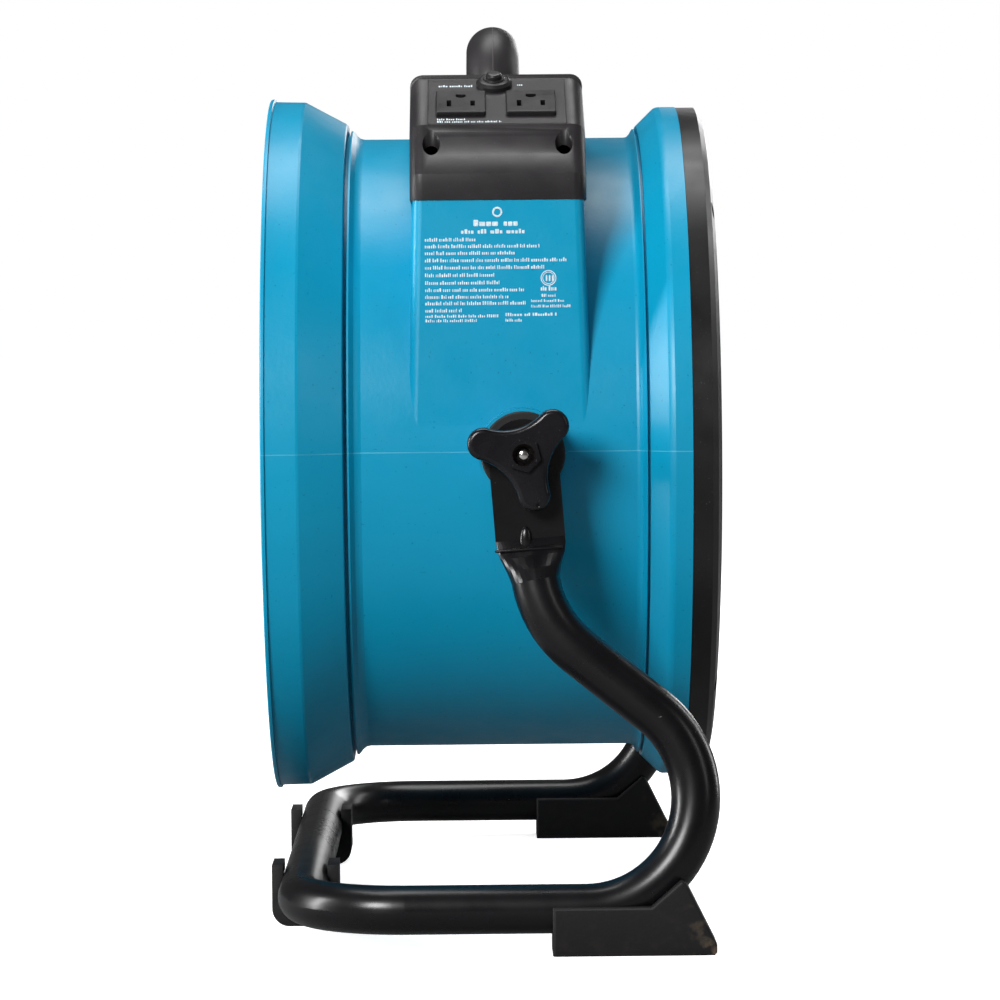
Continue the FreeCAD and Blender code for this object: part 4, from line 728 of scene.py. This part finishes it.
# %% Print the rating block
def ink_ring(x, y, radius, width):
    """A flat ring of ink round a point, in millimetres."""
    bpy.ops.mesh.primitive_circle_add(
        vertices=40, radius=radius * MM, fill_type="NGON", location=(x * MM, y * MM, 0.0)
    )
    ring = bpy.context.object
    bpy.ops.object.mode_set(mode="EDIT")
    bpy.ops.mesh.select_all(action="SELECT")
    bpy.ops.mesh.inset(thickness=width * MM, depth=0.0)
    bpy.ops.mesh.delete(type="FACE")
    bpy.ops.mesh.select_all(action="SELECT")
    bpy.ops.mesh.extrude_region_move(TRANSFORM_OT_translate={"value": (0.0, 0.0, INK)})
    bpy.ops.mesh.select_all(action="SELECT")
    bpy.ops.mesh.normals_make_consistent(inside=False)
    bpy.ops.object.mode_set(mode="OBJECT")
    bpy.ops.object.transform_apply(location=True, rotation=True, scale=True)
    return ring


RATING_LEFT = -37.2
RATING_ROWS = (
    # right end, middle, height
    (-10.6, 14.0, 1.9), (21.9, 10.6, 1.9), (9.7, 7.1, 1.9), (35.3, 3.4, 1.9),
    (24.0, -0.3, 1.9), (-0.7, -4.2, 1.9), (0.8, -8.1, 1.9), (13.4, -11.8, 1.9),
    (5.3, -15.3, 1.9), (15.0, -18.6, 1.9), (-18.6, -22.3, 1.9), (0.4, -25.2, 1.5),
    (-11.0, -27.5, 1.5),
)
ROW_LETTER, ROW_GAP, ROW_SEED = 0.62, 0.42, 11
RATING_EXTRAS = (
    # left end, right end, middle, height, letter, gap, seed
    (-12.2, 11.2, 22.4, 3.2, 2.4, 0.5, 3), (-18.6, 14.0, 18.1, 2.3, 1.6, 0.5, 4),
    (22.0, 30.0, -11.3, 2.4, 0.8, 0.3, 31), (22.4, 30.0, -14.9, 1.5, 0.6, 0.3, 32),
    (17.0, 34.0, -17.6, 1.4, 0.5, 0.35, 33), (17.0, 37.2, -20.4, 1.4, 0.5, 0.35, 34),
    (3.8, 30.4, -24.6, 1.6, 0.9, 0.4, 35), (3.8, 12.2, -27.5, 1.5, 0.6, 0.3, 36),
)
RATING_RINGS = ((26.0, -6.0, 4.0, 0.45), (26.0, -6.0, 3.1, 0.3), (0.0, 28.0, 2.6, 0.9))
RATING_SCALE = 1.03
rating_face = face_place("duct_housing", (0.0034, -0.3, 0.3533), (0.0, 1.0, 0.0))
rating_face = rating_face @ Matrix.Diagonal((RATING_SCALE, RATING_SCALE, 1.0, 1.0))
rating = []
for row, (right, middle, height) in enumerate(RATING_ROWS):
    rating += letter_run(
        RATING_LEFT, right, middle, height, ROW_LETTER, ROW_GAP, row + ROW_SEED
    )
for extra in RATING_EXTRAS:
    rating += letter_run(*extra)
rating += [(24.6 + 1.6 * i, -7.6, 0.8, 3.0) for i in range(3)]
rings = [ink_ring(*ring) for ring in RATING_RINGS]
lay_ink("rating_print", rating_face, rating, rings)

# %% [markdown]
# ### Panel captions
#
# The captions sit beside the breaker and around the first outlet. Their heights are
# counted along the slope of the panel, from its middle.

# %% Print the captions
CAPTIONS = (
    # left end, right end, middle, height, letter, gap, seed
    (-31.2, -13.0, 20.0, 2.6, 0.8, 0.4, 51), (11.4, 14.8, 21.2, 2.4, 0.8, 0.4, 52),
    (-32.3, -11.9, 8.9, 2.4, 0.8, 0.4, 53), (-32.0, -16.0, -24.3, 2.2, 0.7, 0.35, 54),
    (-32.0, 2.1, -27.4, 2.2, 0.7, 0.35, 55),
)
low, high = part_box("socket_panel")
panel_middle = (0.004, (low[1] + high[1]) / 2, high[2] + 0.05)
panel_face = face_place("socket_panel", panel_middle, (0.0, 0.0, -1.0))
captions = []
for caption in CAPTIONS:
    captions += letter_run(*caption)
lay_ink("panel_captions", panel_face, captions)
bpy.data.objects.remove(ink_bar)

# %% [markdown]
# ## Softened cover
#
# The cover is moulded, so none of its edges is sharp: light runs along each one in
# a thin soft line, and its two upper corners are well rounded. The CAD node has its
# main curves and stays in the model for contact. What is seen here is a merged copy
# of it. Merging joins the loose triangles, a limited dissolve makes whole faces of
# them, the top edges get a wide bevel by hand, and a Bevel modifier breaks the rest.

# %% Copy a CAD node as one clean mesh
MERGE_WITHIN = 0.00001
FLAT_WITHIN = math.radians(0.3)
SMOOTH_BELOW = math.radians(32.0)
SHARPER_THAN = math.radians(30.0)


def clean_copy(node, name):
    """A joined copy of a node, with its flat triangles made into whole faces."""
    piece = bpy.data.objects.new(name, NODES[node].data.copy())
    piece.data.name = name
    bpy.context.scene.collection.objects.link(piece)
    select_only(piece)
    bpy.ops.mesh.customdata_custom_splitnormals_clear()
    bpy.ops.object.mode_set(mode="EDIT")
    bpy.ops.mesh.select_all(action="SELECT")
    bpy.ops.mesh.remove_doubles(threshold=MERGE_WITHIN)
    bpy.ops.mesh.dissolve_limited(angle_limit=FLAT_WITHIN)
    bpy.ops.object.mode_set(mode="OBJECT")
    print(name, "has", len(piece.data.polygons), "faces after cleaning")
    return piece


def break_edges(piece, width, segments):
    """A small round, so many millimetres wide, on every sharp edge."""
    select_only(piece)
    bpy.ops.object.modifier_add(type="BEVEL")
    bevel = piece.modifiers[-1]
    bevel.width = width * MM
    bevel.segments = segments
    bevel.limit_method = "ANGLE"
    bevel.angle_limit = SHARPER_THAN
    bevel.miter_outer = "MITER_ARC"
    bpy.ops.object.modifier_apply(modifier=bevel.name)
    bpy.ops.object.shade_smooth_by_angle(angle=SMOOTH_BELOW)


# %% [markdown]
# The two long corners at the cover's ends are picked by where they lie: at the very
# top, and at one end of the box. They get a wide round. After that every other
# sharp edge gets a narrow one.

# %% Round the cover's top corners and break its edges
CORNER_RADIUS = 6.5 * MM
COVER_EDGE = 0.9
cover = clean_copy("control_cover", "softened_cover")
cover_low, cover_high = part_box("control_cover")
top_line = cover_high[2] - 0.5 * MM


def on_top_corner(edge):
    """A long edge at the very top, at the front or back end of the cover."""
    a, b = (v.co for v in edge.verts)
    ends = abs(a.x - cover_low[0]) < 0.3 * MM or abs(a.x - cover_high[0]) < 0.3 * MM
    return ends and abs(a.x - b.x) < 0.1 * MM and min(a.z, b.z) > top_line


edit_pick(cover, "edges", on_top_corner)
bpy.ops.mesh.bevel(offset=CORNER_RADIUS, segments=6)
bpy.ops.object.mode_set(mode="OBJECT")
break_edges(cover, COVER_EDGE, 2)
wear(cover, FINISHES["cover_black"])
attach(cover, "housing")
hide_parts("control_cover")
print("cover has", len(cover.data.polygons), "faces")

# %% [markdown]
# ## Rounded feet
#
# Moulded rubber has no sharp corner either. Each foot is copied, cleaned and given
# a rounder edge than the cover's, because rubber is moulded thick and wears round.

# %% Round the feet
FOOT_EDGE = 1.3
for foot in WORN_BY["foot_rubber"]:
    rounded = clean_copy(foot, "rounded_" + foot)
    break_edges(rounded, FOOT_EDGE, 3)
    wear(rounded, FINISHES["foot_rubber"])
    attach(rounded, "stand")
    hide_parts(foot)

# %% [markdown]
# ## Crimped arm ends
#
# Each arm of the stand is a tube pressed flat at its end. The press leaves a sharp
# ridge where the flat begins, and a small bulge of metal above it that had nowhere
# to go. The ridge starts as a block and gets round edges. The bulge starts as a
# ball drawn tall, and a bisect takes off the part that would be deep in the metal.

# %% Add the ridge and the bulge
RIDGE_HEIGHT, BULGE_HEIGHT = 0.2062, 0.2110
RIDGE_SIZE = (35.5 * MM, 2.2 * MM, 1.5 * MM)
RIDGE_EDGE = 0.6 * MM
RIDGE_LEAN = math.radians(-3.4)
BULGE_RADII = (3.2 * MM, 2.4 * MM, 7.0 * MM)
BULGE_SUNK = 1.2 * MM
ROUNDED_BELOW = math.radians(50.0)
for side, side_name in ((-1, "left"), (1, "right")):
    ridge_spot = face_place(
        "stand_frame", (0.018, side * 0.4, RIDGE_HEIGHT), (0.0, -side, 0.0)
    ).translation
    bpy.ops.mesh.primitive_cube_add(size=1.0, location=ridge_spot, scale=RIDGE_SIZE)
    ridge = bpy.context.object
    bpy.ops.object.transform_apply(location=False, rotation=False, scale=True)
    bpy.ops.object.mode_set(mode="EDIT")
    bpy.ops.mesh.select_all(action="SELECT")
    bpy.ops.mesh.bevel(offset=RIDGE_EDGE, segments=3)
    bpy.ops.object.mode_set(mode="OBJECT")
    ridge.rotation_euler[1] = RIDGE_LEAN
    bpy.ops.object.transform_apply(location=True, rotation=True, scale=True)
    bulge_spot = face_place(
        "stand_frame", (0.0165, side * 0.4, BULGE_HEIGHT), (0.0, -side, 0.0)
    ).translation
    bpy.ops.mesh.primitive_uv_sphere_add(
        segments=24, ring_count=16, radius=1.0, location=bulge_spot, scale=BULGE_RADII
    )
    bulge = bpy.context.object
    bpy.ops.object.transform_apply(location=True, rotation=True, scale=True)
    bpy.ops.object.mode_set(mode="EDIT")
    bpy.ops.mesh.select_all(action="SELECT")
    behind = bulge_spot - Vector((0.0, side * BULGE_SUNK, 0.0))
    bpy.ops.mesh.bisect(
        plane_co=behind, plane_no=(0.0, side, 0.0), clear_inner=True, use_fill=True
    )
    bpy.ops.object.mode_set(mode="OBJECT")
    ridge.select_set(True)
    bulge.select_set(True)
    bpy.context.view_layer.objects.active = ridge
    bpy.ops.object.join()
    ridge.name = ridge.data.name = "crimp_" + side_name
    bpy.ops.object.shade_smooth_by_angle(angle=ROUNDED_BELOW)
    wear(ridge, FINISHES["frame_black"])
    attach(ridge, "stand")
    print(ridge.name, "at", [round(v, 4) for v in ridge_spot])

# %% [markdown]
# ## Domed studs
#
# The clamp stud's end is rounded over and plated, so it shows as one bright point
# in the dark well of the knob. A ball is flattened, and a bisect keeps its outer
# half, which sits on the end of the CAD stud.

# %% Dome the ends of the studs
DOME_RADII = (3.1 * MM, 1.5 * MM, 3.1 * MM)
DOME_SUNK = 0.2 * MM
for side, side_name in ((-1, "left"), (1, "right")):
    stud_low, stud_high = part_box("pivot_stud_" + side_name)
    stud_end = stud_high[1] if side > 0 else stud_low[1]
    end_spot = Vector(
        ((stud_low[0] + stud_high[0]) / 2, stud_end, (stud_low[2] + stud_high[2]) / 2)
    )
    bpy.ops.mesh.primitive_uv_sphere_add(
        segments=32, ring_count=16, radius=1.0, location=end_spot, scale=DOME_RADII
    )
    dome = bpy.context.object
    bpy.ops.object.transform_apply(location=True, rotation=True, scale=True)
    bpy.ops.object.mode_set(mode="EDIT")
    bpy.ops.mesh.select_all(action="SELECT")
    bpy.ops.mesh.bisect(
        plane_co=end_spot - Vector((0.0, side * DOME_SUNK, 0.0)),
        plane_no=(0.0, side, 0.0), clear_inner=True, use_fill=True,
    )
    bpy.ops.object.mode_set(mode="OBJECT")
    dome.name = dome.data.name = "stud_dome_" + side_name
    bpy.ops.object.shade_smooth_by_angle(angle=ROUNDED_BELOW)
    wear(dome, FINISHES["bright_zinc"])
    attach(dome, "housing")
    print(dome.name, "at", [round(v, 4) for v in end_spot])
